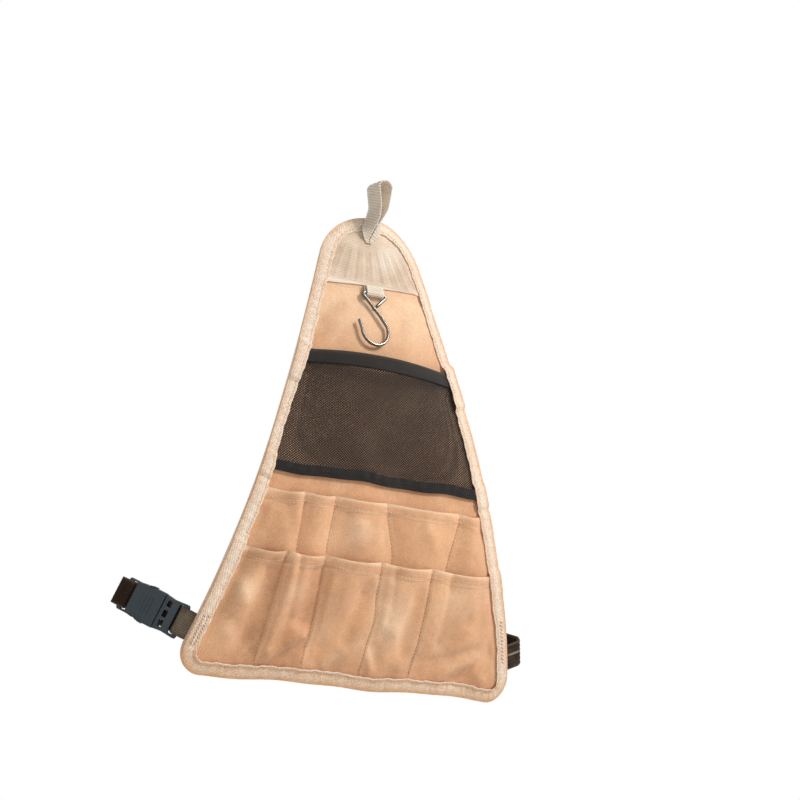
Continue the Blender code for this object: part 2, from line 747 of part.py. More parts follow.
# mirror is -1 on the left. The run is the buckle's middle line, drawn in the strap's own plane as
# (out from the bag's edge, back from its front face), and its height counts away from the pole.
# The layers are those of the anchor's two leaves and of the pole strap's sewn end.
Side = namedtuple("Side", "label mirror start angle facing pole_distance layers sewn")
LEFT = Side("left", -1, Vector((0.5 * MM, (LAYER_ONE + LAYER_TWO) / 2)), LEFT_ANGLE, 1,
            LEFT_POLE_DISTANCE, (LAYER_ONE, LAYER_TWO, LAYER_THREE),
            Vector((-STRAP_LEAD * 2, LAYER_THREE + 2 * GAP)))
RIGHT = Side("right", 1, Vector((-RIGHT_INSET, (LAYER_TWO + LAYER_THREE) / 2)), RIGHT_ANGLE, -1,
             RIGHT_POLE_DISTANCE, (LAYER_THREE, LAYER_TWO, LAYER_ONE),
             Vector((-STRAP_LEAD / 2, LAYER_ONE)))

SOCKET_START = FRAME_LENGTH + MOUTH_PLAY
SOCKET_BODY_END = SOCKET_START + SOCKET_LENGTH
SOCKET_SLOT_START = SOCKET_BODY_END + 1.5 * MM
SOCKET_BAR_START = SOCKET_SLOT_START + SLOT_LENGTH
SOCKET_END = SOCKET_BAR_START + BAR_LENGTH
BAR_OFFSET = FRAME_HEIGHT / 2 + LAYER_PLAY + WEBBING_THICKNESS / 2
TAIL_OFFSET = SOCKET_TAIL_HEIGHT / 2 + LAYER_PLAY + WEBBING_THICKNESS / 2


def strap_axes():
    """The middle of the strap on the bag's edge, and the axes out, along the edge and back."""
    reach = side_line(STRAP_DOWN)
    point, normal = surface(reach, STRAP_DOWN)
    step = 1 * MM
    along = (worn(side_line(STRAP_DOWN - step), STRAP_DOWN - step, 0) - point).normalized()
    back = -normal
    out = along.cross(back).normalized()
    if out.x < 0:
        out = -out
    return point, out, along, back


def run_axes(side):
    """Along a side's run, and away from its pole."""
    along = Vector((math.cos(side.angle), math.sin(side.angle)))
    away = Vector((math.sin(side.angle), -math.cos(side.angle))) * side.facing
    return along, away


def run_point(side, distance, height):
    along, away = run_axes(side)
    return side.start + along * (STRAP_LEAD + distance) + away * height


def pole_centre(side):
    return run_point(side, side.pole_distance, -(BUCKLE_HEIGHT / 2 + POLE_RADIUS + POLE_PLAY))


def strip(name, path, side):
    """Webbing along a path of (out, back); what lies on the bag follows its back face."""
    edge, out, along, back = strap_axes()
    flow = [Vector(point) for point in path]
    stations = []
    for i, here in enumerate(flow):
        before = flow[max(0, i - 1)]
        after = flow[min(len(flow) - 1, i + 1)]
        course = (after - before).normalized()
        if here.x <= 0 and here.y <= LAYER_THREE + 4 * GAP:
            u = side_line(STRAP_DOWN) + here.x * math.cos(SIDE_ANGLE)
            v = STRAP_DOWN - here.x * math.sin(SIDE_ANGLE)
            centre = worn(u, v, -here.y)
            above = worn(u - MM * math.sin(SIDE_ANGLE), v - MM * math.cos(SIDE_ANGLE), -here.y)
            across = (above - centre).normalized()
            behind = -surface(u, v)[1]
        else:
            centre = edge + out * here.x + back * here.y
            across = along.copy()
            behind = back
        normal = out * -course.y + behind * course.x
        for vector in (centre, across, normal):
            vector.x *= side.mirror
        stations.append((centre, across, STRAP_WIDTH, normal))
    return ribbon(name, stations, WEBBING_THICKNESS, "strap_webbing")


def fold_round_bar(side, bar_start, bar_end, offset):
    """Webbing's middle line round the frame's bar, from its outer to its pole face."""
    centre = bar_end - offset * 0.3
    turn = [(centre + offset * math.cos(a), offset * math.sin(a))
            for a in between(math.pi / 2, -math.pi / 2, 6)]
    return [run_point(side, x, z) for x, z in [(bar_start, offset)] + turn + [(bar_start, -offset)]]


def anchor_path(side):
    """Sewn to the back, out to the buckle, round the frame's bar and back beside itself."""
    lead_layer, tail_layer, _ = side.layers
    sewn = [Vector((-SEWN_LENGTH, lead_layer)), Vector((-SEWN_LENGTH / 2, lead_layer))]
    tail = [Vector((-SEWN_LENGTH / 2, tail_layer)), Vector((-SEWN_LENGTH * 0.75, tail_layer))]
    fold = fold_round_bar(side, 0.0, BAR_LENGTH, BAR_OFFSET)
    if side.facing > 0:
        lead = [Vector((-STRAP_LEAD / 2, lead_layer)), Vector((STRAP_LEAD * 0.2, lead_layer + GAP))]
        back = [Vector((-STRAP_LEAD * 0.35, tail_layer + GAP * 4)), Vector((-STRAP_LEAD, tail_layer + GAP))]
    else:
        lead = turn_between(sewn[-1], fold[0], side.start.x - STRAP_LEAD * 0.7)
        back = turn_between(tail[0], fold[-1], side.start.x + STRAP_LEAD * 0.15)[::-1]
    return sewn + lead + fold + back + tail


def turn_between(flat, high, corner_x):
    """Points of a round turn from a layer on the bag up to a point behind it."""
    corner = Vector((corner_x, flat.y))
    start = corner + (flat - corner).normalized() * STRAP_LEAD * 0.6
    end = corner + (high - corner) * 0.6
    return [start * (1 - t) ** 2 + corner * 2 * t * (1 - t) + end * t ** 2 for t in between(0.0, 1.0, 4)]


def tangent_angle(centre, radius, point, turn):
    """Angle on a circle at which a line from point touches it."""
    away = Vector(point) - centre
    spread = math.acos(radius / away.length)
    return math.atan2(away.y, away.x) + turn * spread


def pole_path(side):
    """From a short tail round the socket's bar, round the pole and back to the bag."""
    offset = TAIL_OFFSET
    middle = SOCKET_BAR_START + BAR_LENGTH / 2
    fold = [(SOCKET_END + WEBBING_THICKNESS, -offset), (middle, -offset)]
    for a in between(-math.pi / 2, -3 * math.pi / 2, 6):
        fold.append((SOCKET_BAR_START + offset * (0.3 + math.cos(a)), offset * math.sin(a)))
    fold += [(middle, offset), (SOCKET_END, offset), (SOCKET_END + offset * 1.2, offset * 0.6)]
    if side.facing < 0:
        fold += [(SOCKET_END + offset * 1.55, -offset * 0.5), (SOCKET_END + offset * 1.35, -offset * 1.6)]
    fold = [run_point(side, x, z) for x, z in fold]
    centre = pole_centre(side)
    radius = POLE_RADIUS + POLE_PLAY + WEBBING_THICKNESS / 2
    first = tangent_angle(centre, radius, fold[-1], side.facing)
    last = tangent_angle(centre, radius, side.sewn, -side.facing)
    while (last - first) * side.facing < 0:
        last += 2 * math.pi * side.facing
    wrap = [centre + Vector((math.cos(a), math.sin(a))) * radius for a in between(first, last, 10)]
    layer = side.layers[2]
    end = [side.sewn, Vector((-SEWN_LENGTH * 0.5, layer)), Vector((-SEWN_LENGTH * 0.9, layer))]
    return fold + wrap + end


def buckle_matrix(side):
    """Axes of a buckle: x along the strap, y along the bag's edge, z away from the pole."""
    edge, out, along, back = strap_axes()
    course, away = run_axes(side)
    start = run_point(side, 0.0, 0.0)
    origin = edge + out * start.x + back * start.y
    x_axis = (out * course.x + back * course.y).normalized()
    z_axis = (out * away.x + back * away.y).normalized()
    for vector in (origin, x_axis, z_axis):
        vector.x *= side.mirror
    matrix = Matrix((x_axis, z_axis.cross(x_axis), z_axis)).transposed().to_4x4()
    matrix.translation = origin
    return matrix


# Moulded forms

def moulding(name, sections, corner, steps=2):
    """A body lofted along x through (x, half width, half height) with rounded corners."""
    points = []
    for x, half_y, half_z in sections:
        radius = min(corner, half_z * 0.9)
        for quarter, (toward_y, toward_z) in enumerate(((1, 1), (-1, 1), (-1, -1), (1, -1))):
            middle = (toward_y * (half_y - radius), toward_z * (half_z - radius))
            arc = arc_points(middle, radius, quarter * math.pi / 2, (quarter + 1) * math.pi / 2, steps)
            points += [(x, y, z) for y, z in arc]
    return solid(name, points, ring_faces(len(sections), 4 * (steps + 1)), "buckle")


def box(name, low, high):
    """A plain box from its low to its high corner."""
    corners = ((0, 0), (1, 0), (1, 1), (0, 1))
    points = [(x, (low[1], high[1])[j], (low[2], high[2])[k]) for x in (low[0], high[0]) for j, k in corners]
    return solid(name, points, ring_faces(2, 4), "buckle")


def slab(name, outline, low, high):
    """A flat outline raised from low to high."""
    points = [(x, y, z) for z in (low, high) for x, y in outline]
    return solid(name, points, ring_faces(2, len(outline)), "buckle")


def rod(name, centre, radius, height, sides=16):
    outline = arc_points(centre, radius, 0.0, 2 * math.pi, sides)[:-1]
    return slab(name, outline, -height / 2, height / 2)


def rounded_opening(name, low, high, corner, bottom, top):
    """A cutter with a rectangular plan and round corners."""
    inner_x = (low[0] + corner, high[0] - corner)
    inner_y = (low[1] + corner, high[1] - corner)
    outline = []
    for quarter, (i, j) in enumerate(((1, 1), (0, 1), (0, 0), (1, 0))):
        start = quarter * math.pi / 2
        outline += arc_points((inner_x[i], inner_y[j]), corner, start, start + math.pi / 2, 3)
    return slab(name, outline, bottom, top)


def combine(target, operation, tools):
    """Cut the tools from the target, or add them to it."""
    for tool in tools:
        tool.hide_render = True
        tool.display_type = "WIRE"
        tool.parent = target
        step = target.modifiers.new(operation.lower() + "_" + tool.name, "BOOLEAN")
        step.operation = operation
        step.object = tool
    return target


CAVITY_Y = BUCKLE_WIDTH / 2 - SOCKET_WALL
ARM_HEIGHT = SOCKET_CAVITY_HEIGHT - 2 * GAP
ARM_ROOT_X = FRAME_LENGTH - ARM_ROOT_INSET
ARM_ROOT_Y = CAVITY_Y - ARM_BEAM - ARM_PLAY - ARM_ROOT_RADIUS * 0.85
FRAME_HALF = BUCKLE_WIDTH / 2 - 0.5 * MM
SLOT_HALF = STRAP_WIDTH / 2 + SLOT_PLAY


def make_buckle_frame(side):
    """Male half: strap bar, slot, three windows, the flange that meets the socket, and its guide."""
    name = side.label + "_buckle_frame"
    low = FRAME_HEIGHT / 2
    high = FLANGE_HEIGHT / 2
    slope = BAR_LENGTH + SLOT_LENGTH + 1 * MM
    flange = FRAME_LENGTH - FLANGE_LENGTH
    sections = [(0.0, FRAME_HALF - 1.6 * MM, low * 0.5), (0.5 * MM, FRAME_HALF - 0.7 * MM, low * 0.85),
                (1.4 * MM, FRAME_HALF, low), (BAR_LENGTH, FRAME_HALF, low),
                (slope, FRAME_HALF - FRAME_WAIST * 0.6, low),
                ((slope + flange) / 2, FRAME_HALF - FRAME_WAIST, low + (high - low) * 0.4),
                (flange, FRAME_HALF - FRAME_WAIST * 0.3, high),
                (FRAME_LENGTH - 0.5 * MM, FRAME_HALF, high),
                (FRAME_LENGTH, FRAME_HALF - 0.4 * MM, high - 0.4 * MM)]
    frame = moulding(name, sections, 1.5 * MM)
    reach = FRAME_LENGTH + GUIDE_LENGTH
    guide = moulding(name + "_guide", [
        (FRAME_LENGTH - 2 * MM, GUIDE_WIDTH / 2, GUIDE_HEIGHT / 2),
        (reach - 4 * MM, GUIDE_WIDTH * 0.42, GUIDE_HEIGHT / 2),
        (reach - 1.2 * MM, GUIDE_WIDTH * 0.34, GUIDE_HEIGHT * 0.42),
        (reach, GUIDE_WIDTH * 0.18, GUIDE_HEIGHT * 0.25)], 0.7 * MM)
    start = FRAME_LENGTH - WINDOW_LENGTH - 3.5 * MM
    tools = [rounded_opening(name + "_slot", (BAR_LENGTH, -SLOT_HALF), (BAR_LENGTH + SLOT_LENGTH, SLOT_HALF),
                             SLOT_CORNER, -high, high)]
    for i in (-1, 0, 1):
        middle = i * WINDOW_PITCH
        tools.append(rounded_opening(name + "_window_%d" % (i + 2), (start, middle - WINDOW_WIDTH / 2),
                                     (start + WINDOW_LENGTH, middle + WINDOW_WIDTH / 2), WINDOW_CORNER,
                                     -2 * high, 2 * high))
    for i in (-1, 1):
        tools.append(rod(name + "_seat_%d" % (i + 2), (ARM_ROOT_X, i * ARM_ROOT_Y), ARM_ROOT_RADIUS + GAP,
                         SOCKET_CAVITY_HEIGHT))
    combine(frame, "UNION", [guide])
    combine(frame, "DIFFERENCE", tools)
    frame.matrix_world = buckle_matrix(side)
    return frame


def arm_outline():
    """Plan of the arm at +y: round root, bowed beam, catch, ribbed thumb pad and nose."""
    rail_end = SOCKET_START + SOCKET_RAIL
    catch_x = rail_end + ARM_PLAY
    beam_out = CAVITY_Y - ARM_PLAY
    beam_in = beam_out - ARM_BEAM
    pad_out = CAVITY_Y + ARM_CATCH
    pad_end = rail_end + SOCKET_WINDOW - 1.2 * MM
    nose = pad_end + 0.9 * MM
    root = arc_points((ARM_ROOT_X, ARM_ROOT_Y), ARM_ROOT_RADIUS, math.radians(60), math.radians(300), 8)
    bow_start = ARM_ROOT_X + 3.0 * MM
    bow_in = ARM_ROOT_Y - ARM_BEAM * 0.45
    bow_out = ARM_ROOT_Y + ARM_BEAM * 0.75
    inner = []
    outer = []
    for t in between(0.0, 1.0, 4):
        x = bow_start + (catch_x - 1.5 * MM - bow_start) * t
        inner.append((x, bow_in + (beam_in - bow_in) * smooth(t)))
        outer.append((x, bow_out + (beam_out - 0.5 * MM - bow_out) * smooth(t)))
    pad = []
    length = pad_end - catch_x - 1.2 * MM
    for i in range(2 * PAD_RIBS + 1):
        t = i / (2 * PAD_RIBS)
        drop = (ARM_CATCH - 0.4 * MM) * t ** 2.2
        pad.append((catch_x + 1.0 * MM + length * t, pad_out - drop - (PAD_RIB_DEPTH if i % 2 else 0.0)))
    tip = [(nose - 3 * MM, beam_in - 0.3 * MM), (nose - 0.9 * MM, beam_in + 0.5 * MM),
           (nose, beam_in + 1.3 * MM), (nose - 0.3 * MM, beam_out - 0.5 * MM),
           (pad_end - 0.4 * MM, CAVITY_Y - 0.2 * MM)]
    catch = [(catch_x + 0.3 * MM, pad_out - 0.15 * MM), (catch_x, pad_out - 0.7 * MM), (catch_x, beam_out)]
    return root + inner + tip + pad[::-1] + catch + outer[::-1]


def make_latch_arm(side, place, which):
    """A latch arm with its origin on the axis that it bends about."""
    outline = [(x - ARM_ROOT_X, (y - ARM_ROOT_Y) * which) for x, y in arm_outline()]
    arm = slab("%s_latch_arm_%s" % (side.label, place), outline, -ARM_HEIGHT / 2, ARM_HEIGHT / 2)
    arm.matrix_world = buckle_matrix(side) @ Matrix.Translation((ARM_ROOT_X, ARM_ROOT_Y * which, 0))
    return arm


def make_buckle_socket(side):
    """Female half: a tapered tube with scalloped side windows, grip ribs and a bar for the strap."""
    name = side.label + "_buckle_socket"
    half = BUCKLE_WIDTH / 2
    high = BUCKLE_HEIGHT / 2
    low = SOCKET_TAIL_HEIGHT / 2
    end = SOCKET_BODY_END
    tail_half = half - SOCKET_TAPER
    window_start = SOCKET_START + SOCKET_RAIL
    window_end = window_start + SOCKET_WINDOW
    sections = [(SOCKET_START, half - 0.4 * MM, high - 0.4 * MM), (SOCKET_START + 0.6 * MM, half, high),
                (window_start, half, high), (window_end, half - SOCKET_TAPER * 0.5, high * 0.95),
                (end - 1.5 * MM, tail_half, (high + low) / 2), (SOCKET_SLOT_START, tail_half, low),
                (SOCKET_END - 1.4 * MM, tail_half, low),
                (SOCKET_END - 0.5 * MM, tail_half - 0.7 * MM, low * 0.85),
                (SOCKET_END, tail_half - 1.6 * MM, low * 0.5)]
    body = moulding(name, sections, 1.8 * MM)
    cavity_half = SOCKET_CAVITY_HEIGHT / 2
    cavity = moulding(name + "_cavity", [
        (SOCKET_START - 2 * MM, CAVITY_Y, cavity_half), (window_end, CAVITY_Y, cavity_half),
        (end - SOCKET_END_WALL, CAVITY_Y - SOCKET_TAPER, cavity_half)], 0.3 * MM, 1)
    windows = box(name + "_windows", (window_start, -2 * half, -cavity_half),
                  (window_end, 2 * half, cavity_half))
    slot = rounded_opening(name + "_slot", (SOCKET_SLOT_START, -SLOT_HALF), (SOCKET_BAR_START, SLOT_HALF),
                           SLOT_CORNER, -high, high)
    radius = SOCKET_WINDOW ** 2 / (8 * SOCKET_SCALLOP) + SOCKET_SCALLOP / 2
    middle = (window_start + window_end) / 2
    scallops = [rod(name + "_scallop_%d" % (i + 2), (middle, i * (half - SOCKET_SCALLOP + radius)), radius,
                    2 * BUCKLE_HEIGHT, 40) for i in (-1, 1)]
    grooves = []
    for i in range(GRIP_RIBS):
        x = window_start - 1 * MM + (SOCKET_WINDOW + 2 * MM) * i / (GRIP_RIBS - 1)
        grooves.append(box(name + "_groove_%d" % (i + 1), (x - 0.4 * MM, -GRIP_HALF, high - GRIP_DEPTH),
                           (x + 0.4 * MM, GRIP_HALF, 2 * high)))
    combine(body, "DIFFERENCE", [cavity, windows, slot] + scallops + grooves)
    body.matrix_world = buckle_matrix(side)
    return body


def make_side(side):
    upper = side.mirror * side.facing
    strip(side.label + "_anchor_webbing", anchor_path(side), side)
    make_buckle_frame(side)
    make_latch_arm(side, "upper", upper)
    make_latch_arm(side, "lower", -upper)
    make_buckle_socket(side)
    strip(side.label + "_pole_strap", pole_path(side), side)


def main():
    clear_scene()
    make_back_panel()
    make_edge_binding()
    make_top_patch()
    make_hanging_loop()
    make_hook_tab()
    make_wire_hook()
    make_mesh_pocket()
    make_mesh_top_band()
    make_mesh_bottom_band()
    make_upper_pocket()
    make_lower_pocket()
    make_side(LEFT)
    make_side(RIGHT)


main()
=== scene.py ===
"""Looks of the camping utensil storage bag.

The bag is drawn flat: u runs across it and v runs down it from the top of the dome. worn() bends that
flat pattern to the hanging shape, and n is the height over the front face of the back panel. Every
cloth piece keeps its flat place in the point attribute "flat", so weave and ribs follow the cloth.
Sizes are in metres.
"""

import math
from collections import namedtuple

import bpy
import numpy as np
from mathutils import Matrix, Vector


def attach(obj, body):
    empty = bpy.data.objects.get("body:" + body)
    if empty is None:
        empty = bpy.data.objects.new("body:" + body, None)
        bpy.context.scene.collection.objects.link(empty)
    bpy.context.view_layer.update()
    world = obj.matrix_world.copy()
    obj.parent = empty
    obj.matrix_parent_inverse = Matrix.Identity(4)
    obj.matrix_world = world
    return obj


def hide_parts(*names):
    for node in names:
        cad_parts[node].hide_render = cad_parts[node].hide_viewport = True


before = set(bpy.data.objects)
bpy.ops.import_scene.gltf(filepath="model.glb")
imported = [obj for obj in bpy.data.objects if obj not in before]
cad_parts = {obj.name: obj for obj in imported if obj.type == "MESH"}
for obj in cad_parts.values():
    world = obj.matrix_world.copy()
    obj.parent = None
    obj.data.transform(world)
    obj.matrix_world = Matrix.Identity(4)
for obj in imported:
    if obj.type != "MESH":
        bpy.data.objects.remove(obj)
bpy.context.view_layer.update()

MM = 0.001

# Layers of cloth
GAP = 0.3 * MM
PANEL_THICKNESS = 1.6 * MM
CANVAS_THICKNESS = 0.8 * MM
HEM_THICKNESS = 1.4 * MM
TAPE_THICKNESS = 0.8 * MM
PATCH_THICKNESS = 0.8 * MM
NET_THICKNESS = 0.8 * MM
WEBBING_THICKNESS = 1.4 * MM
LAYER_PLAY = 0.6 * MM
STRAP_PLAY = 0.6 * MM

# Outline and hanging shape
BAG_HEIGHT = 440 * MM
DOME_RADIUS = 58 * MM
SIDE_SLOPE = 0.32
SIDE_ANGLE = math.atan(SIDE_SLOPE)
CORNER_RADIUS = 20 * MM
CORNER_V = BAG_HEIGHT - CORNER_RADIUS
BINDING_WIDTH = 15 * MM
SEAM_FROM_EDGE = 2.2 * MM
BELLY = 38 * MM
SIDE_BOW = 7.5 * MM

# Top patch, hanging loop, tab and hook
PATCH_DEPTH = 69 * MM
PATCH_SEAM = PATCH_DEPTH - 2.2 * MM
PATCH_RIB = 1.65 * MM
LOOP_RISE = 33 * MM
LOOP_WIDTH = 22 * MM
LOOP_THICKNESS = 1.2 * MM
LOOP_BEND_RADIUS = 7 * MM
LOOP_FOOT_DEPTH = 26 * MM
LOOP_FOOT_ASIDE = 5 * MM
LOOP_STAND_OFF = 13.5 * MM
TAB_WIDTH = 18.8 * MM
TAB_DEPTH = 11 * MM
TAB_THICKNESS = 1.0 * MM
HOOK_ASIDE = 5 * MM
WIRE_DIAMETER = 3 * MM
HOOK_EYE_WIDTH = 32.5 * MM
HOOK_BEND_RADIUS = 1.8 * MM
HOOK_EYE_DEPTH = 15 * MM
HOOK_THROAT_RADIUS = 14.5 * MM
HOOK_LENGTH = 53 * MM
WIRE_STEP = 0.6 * MM
WIRE_SIDES = 20

# Net pocket and canvas pockets
NET_TOP = 141.5 * MM
NET_HEIGHT = 117 * MM
NET_FOOT = NET_TOP + NET_HEIGHT
NET_DEPTH = 11 * MM
NET_TOP_BAND = 13 * MM
NET_FOOT_BAND = 9 * MM
UPPER_MOUTH = NET_FOOT + 16.5 * MM
ROW_STEP = 53.5 * MM
LOWER_MOUTH = UPPER_MOUTH + ROW_STEP
HEM_DEPTH = 10 * MM
UPPER_DEPTH = 9 * MM
LOWER_DEPTH = 8.5 * MM
MOUTH_DIP = 2.5 * MM
FULL_WIDTH = 50 * MM
UPPER_DIVIDERS = ((-80 * MM, -83 * MM), (-48 * MM, -52 * MM), (8 * MM, 18 * MM), (90 * MM, 80 * MM))
LOWER_DIVIDERS = ((-93 * MM, -105 * MM), (-52 * MM, -58 * MM), (4 * MM, 4 * MM), (59 * MM, 59 * MM))

# Side straps and the buckle's measures that the webbing follows
STRAP_WIDTH = 25 * MM
STRAP_RISE = 38 * MM
STRAP_DOWN = BAG_HEIGHT - STRAP_RISE
SEWN_LENGTH = 40 * MM
STRAP_LEAD = 6 * MM
POLE_RADIUS = 11 * MM
POLE_PLAY = 1.0 * MM
LEFT_ANGLE = math.radians(42)
LEFT_POLE_DISTANCE = 40 * MM
RIGHT_ANGLE = math.radians(74)
RIGHT_POLE_DISTANCE = 12 * MM
RIGHT_INSET = 4.5 * MM
BUCKLE_HEIGHT = 9.6 * MM
FRAME_HEIGHT = 4.4 * MM
FRAME_LENGTH = 23 * MM
BAR_LENGTH = 4 * MM
SLOT_LENGTH = 5 * MM
MOUTH_PLAY = 0.5 * MM
SOCKET_TAIL_HEIGHT = 5 * MM
SOCKET_START = FRAME_LENGTH + MOUTH_PLAY
SOCKET_LENGTH = 27 * MM
SOCKET_BAR_START = SOCKET_START + SOCKET_LENGTH + 1.5 * MM + SLOT_LENGTH
SOCKET_END = SOCKET_BAR_START + BAR_LENGTH

# Values that follow
EDGE_INSET = TAPE_THICKNESS + GAP
BACK_OF_BINDING = -(PANEL_THICKNESS + GAP + TAPE_THICKNESS)
NET_SEAT = 2 * GAP + TAPE_THICKNESS
PATCH_TOP = GAP + PATCH_THICKNESS
NET_BAND_TOP = NET_SEAT + NET_THICKNESS + 2 * GAP + TAPE_THICKNESS
NET_FRONT = GAP + NET_THICKNESS
NET_FOOT_TOP = NET_FRONT + LAYER_PLAY + TAPE_THICKNESS
UPPER_FRONT = GAP + CANVAS_THICKNESS
UPPER_HEM_FRONT = GAP + HEM_THICKNESS
LOWER_FRONT = UPPER_FRONT + LAYER_PLAY + CANVAS_THICKNESS
LOWER_HEM_FRONT = UPPER_FRONT + LAYER_PLAY + HEM_THICKNESS
STACK = (
    (0.0, PATCH_DEPTH, PATCH_TOP),
    (NET_TOP, NET_TOP + 2 * NET_TOP_BAND, NET_BAND_TOP),
    (NET_TOP, NET_FOOT, NET_FRONT),
    (NET_FOOT - NET_FOOT_BAND, NET_FOOT, NET_FOOT_TOP),
    (UPPER_MOUTH, UPPER_MOUTH + HEM_DEPTH, UPPER_HEM_FRONT),
    (UPPER_MOUTH, BAG_HEIGHT, UPPER_FRONT),
    (LOWER_MOUTH, LOWER_MOUTH + HEM_DEPTH, LOWER_HEM_FRONT),
    (LOWER_MOUTH, BAG_HEIGHT, LOWER_FRONT),
)
STACK_LEAD = 1.5 * MM
STACK_RAMP = 6 * MM
LEAF_DROP = BINDING_WIDTH * math.sin(SIDE_ANGLE)

# Camera, from the photograph's own perspective
CAMERA_PLACE = (-1.14980, -1.74471, -0.62569)
CAMERA_YAW = 0.5959
CAMERA_PITCH = 0.1975
CAMERA_ROLL = 0.0429
CAMERA_LENS = 103.5
CAMERA_SENSOR = 36.0
FLOOR_Z = -1.0


# Camera and light

def make_camera():
    forward = Vector((math.sin(CAMERA_YAW) * math.cos(CAMERA_PITCH),
                      math.cos(CAMERA_YAW) * math.cos(CAMERA_PITCH), math.sin(CAMERA_PITCH)))
    right = Vector((math.cos(CAMERA_YAW), -math.sin(CAMERA_YAW), 0))
    up = right.cross(forward)
    axis_x = right * math.cos(CAMERA_ROLL) + up * math.sin(CAMERA_ROLL)
    axis_y = up * math.cos(CAMERA_ROLL) - right * math.sin(CAMERA_ROLL)
    place = Matrix((axis_x, axis_y, -forward)).transposed().to_4x4()
    place.translation = CAMERA_PLACE
    camera = bpy.data.cameras.new("camera")
    camera.lens = CAMERA_LENS
    camera.sensor_width = CAMERA_SENSOR
    camera.clip_end = 50
    made = bpy.data.objects.new("camera", camera)
    made.matrix_world = place
    bpy.context.scene.collection.objects.link(made)
    bpy.context.scene.camera = made


def make_lamp(name, place, size, power, colour, aim=(0.0, 0.0, -0.25)):
    lamp = bpy.data.lights.new(name, "AREA")
    lamp.size = size
    lamp.energy = power
    lamp.color = colour
    made = bpy.data.objects.new(name, lamp)
    made.location = place
    made.rotation_euler = (Vector(aim) - Vector(place)).to_track_quat("-Z", "Y").to_euler()
    bpy.context.scene.collection.objects.link(made)


# Nodes

class Value:
    """What a node puts out; sums with it add math nodes."""

    def __init__(self, tree, socket):
        self.tree = tree
        self.socket = socket

    def __add__(self, other):
        return maths(self.tree, "ADD", self, other)

    def __sub__(self, other):
        return maths(self.tree, "SUBTRACT", self, other)

    def __mul__(self, other):
        return maths(self.tree, "MULTIPLY", self, other)

    def __truediv__(self, other):
        return maths(self.tree, "DIVIDE", self, other)

    def spread(self, low, high, out_low=0.0, out_high=1.0):
        """The range from low to high brought to another range."""
        return put(self.tree, "ShaderNodeMapRange", {0: self, 1: low, 2: high, 3: out_low, 4: out_high})


def fill(node, inputs):
    """A Value is linked; a number or colour is set on the socket itself."""
    for key, given in inputs.items():
        if isinstance(given, Value):
            given.tree.links.new(given.socket, node.inputs[key])
        else:
            node.inputs[key].default_value = given


def put(tree, kind, inputs, output=0, **settings):
    node = tree.nodes.new(kind)
    for name, setting in settings.items():
        setattr(node, name, setting)
    fill(node, inputs)
    return Value(tree, node.outputs[output])


def maths(tree, operation, *inputs):
    return put(tree, "ShaderNodeMath", dict(enumerate(inputs)), operation=operation)


def mix_colour(tree, share, a, b):
    return put(tree, "ShaderNodeMix", {0: share, 6: a, 7: b}, output=2, data_type="RGBA")


def noise(place, scale, detail=2.0, roughness=0.5, distortion=0.0):
    inputs = {"Vector": place, "Scale": scale, "Detail": detail, "Roughness": roughness,
              "Distortion": distortion}
    return put(place.tree, "ShaderNodeTexNoise", inputs, output="Fac")


def attribute(tree, name, output="Vector"):
    return put(tree, "ShaderNodeAttribute", {}, output=output, attribute_name=name)


def own_place(tree):
    return put(tree, "ShaderNodeTexCoord", {}, output="Object")


def new_group(name, inputs, outputs):
    """A node group, its inputs as Values by label and the node that takes its results."""
    group = bpy.data.node_groups.new(name, "ShaderNodeTree")
    for way, labels in (("INPUT", inputs), ("OUTPUT", outputs)):
        for label, kind in labels:
            group.interface.new_socket(label, in_out=way, socket_type=kind)
    sockets = group.nodes.new("NodeGroupInput").outputs
    given = {label: Value(group, sockets[label]) for label, _ in inputs}
    return group, given, group.nodes.new("NodeGroupOutput")


def use_group(tree, group, inputs):
    node = tree.nodes.new("ShaderNodeGroup")
    node.node_tree = group
    fill(node, inputs)
    return {output.name: Value(tree, output) for output in node.outputs}


FLOAT = "NodeSocketFloat"
VECTOR = "NodeSocketVector"
COLOUR = "NodeSocketColor"
WEAVE_INPUTS = (("Flat", VECTOR), ("Pitch", FLOAT), ("Turn", FLOAT))
WEAVE_OUTPUTS = (("Height", FLOAT), ("Thread", FLOAT))


def turned_place(group, given):
    """The flat place turned by an angle, as x and y."""
    turned = put(group, "ShaderNodeVectorRotate", {"Vector": given["Flat"], "Angle": given["Turn"]},
                 rotation_type="Z_AXIS")
    return [put(group, "ShaderNodeSeparateXYZ", {0: turned}, output=axis) for axis in (0, 1)]


def make_weave_group():
    """Plain weave: crossing humps one thread apart, and threads that differ in tone."""
    group, given, result = new_group("plain weave", WEAVE_INPUTS, WEAVE_OUTPUTS)
    x, y = turned_place(group, given)
    per_pitch = maths(group, "DIVIDE", math.pi, given["Pitch"])
    crossing = maths(group, "SINE", x * per_pitch) * maths(group, "SINE", y * per_pitch)
    hump = maths(group, "POWER", maths(group, "ABSOLUTE", crossing), 0.5)
    tones = []
    for across, along in ((x, y), (y, x)):
        place = put(group, "ShaderNodeCombineXYZ", {0: across / given["Pitch"] * 0.9, 1: along * 170.0})
        tones.append(noise(place, 1.0, 1.0))
    fill(result, {"Height": hump + crossing * 0.35, "Thread": (tones[0] + tones[1]) * 0.5})
    return group


def make_rib_group():
    """Round ribs one pitch apart, wavering a little."""
    group, given, result = new_group("ribs", WEAVE_INPUTS, WEAVE_OUTPUTS)
    x, y = turned_place(group, given)
    count = (y + noise(given["Flat"], 160.0) * 0.0007) / given["Pitch"]
    wave = maths(group, "SINE", count * (2 * math.pi))
    place = put(group, "ShaderNodeCombineXYZ", {0: x * 900.0, 1: count})
    fill(result, {"Height": wave * 0.5 + 0.5, "Thread": noise(place, 1.0)})
    return group


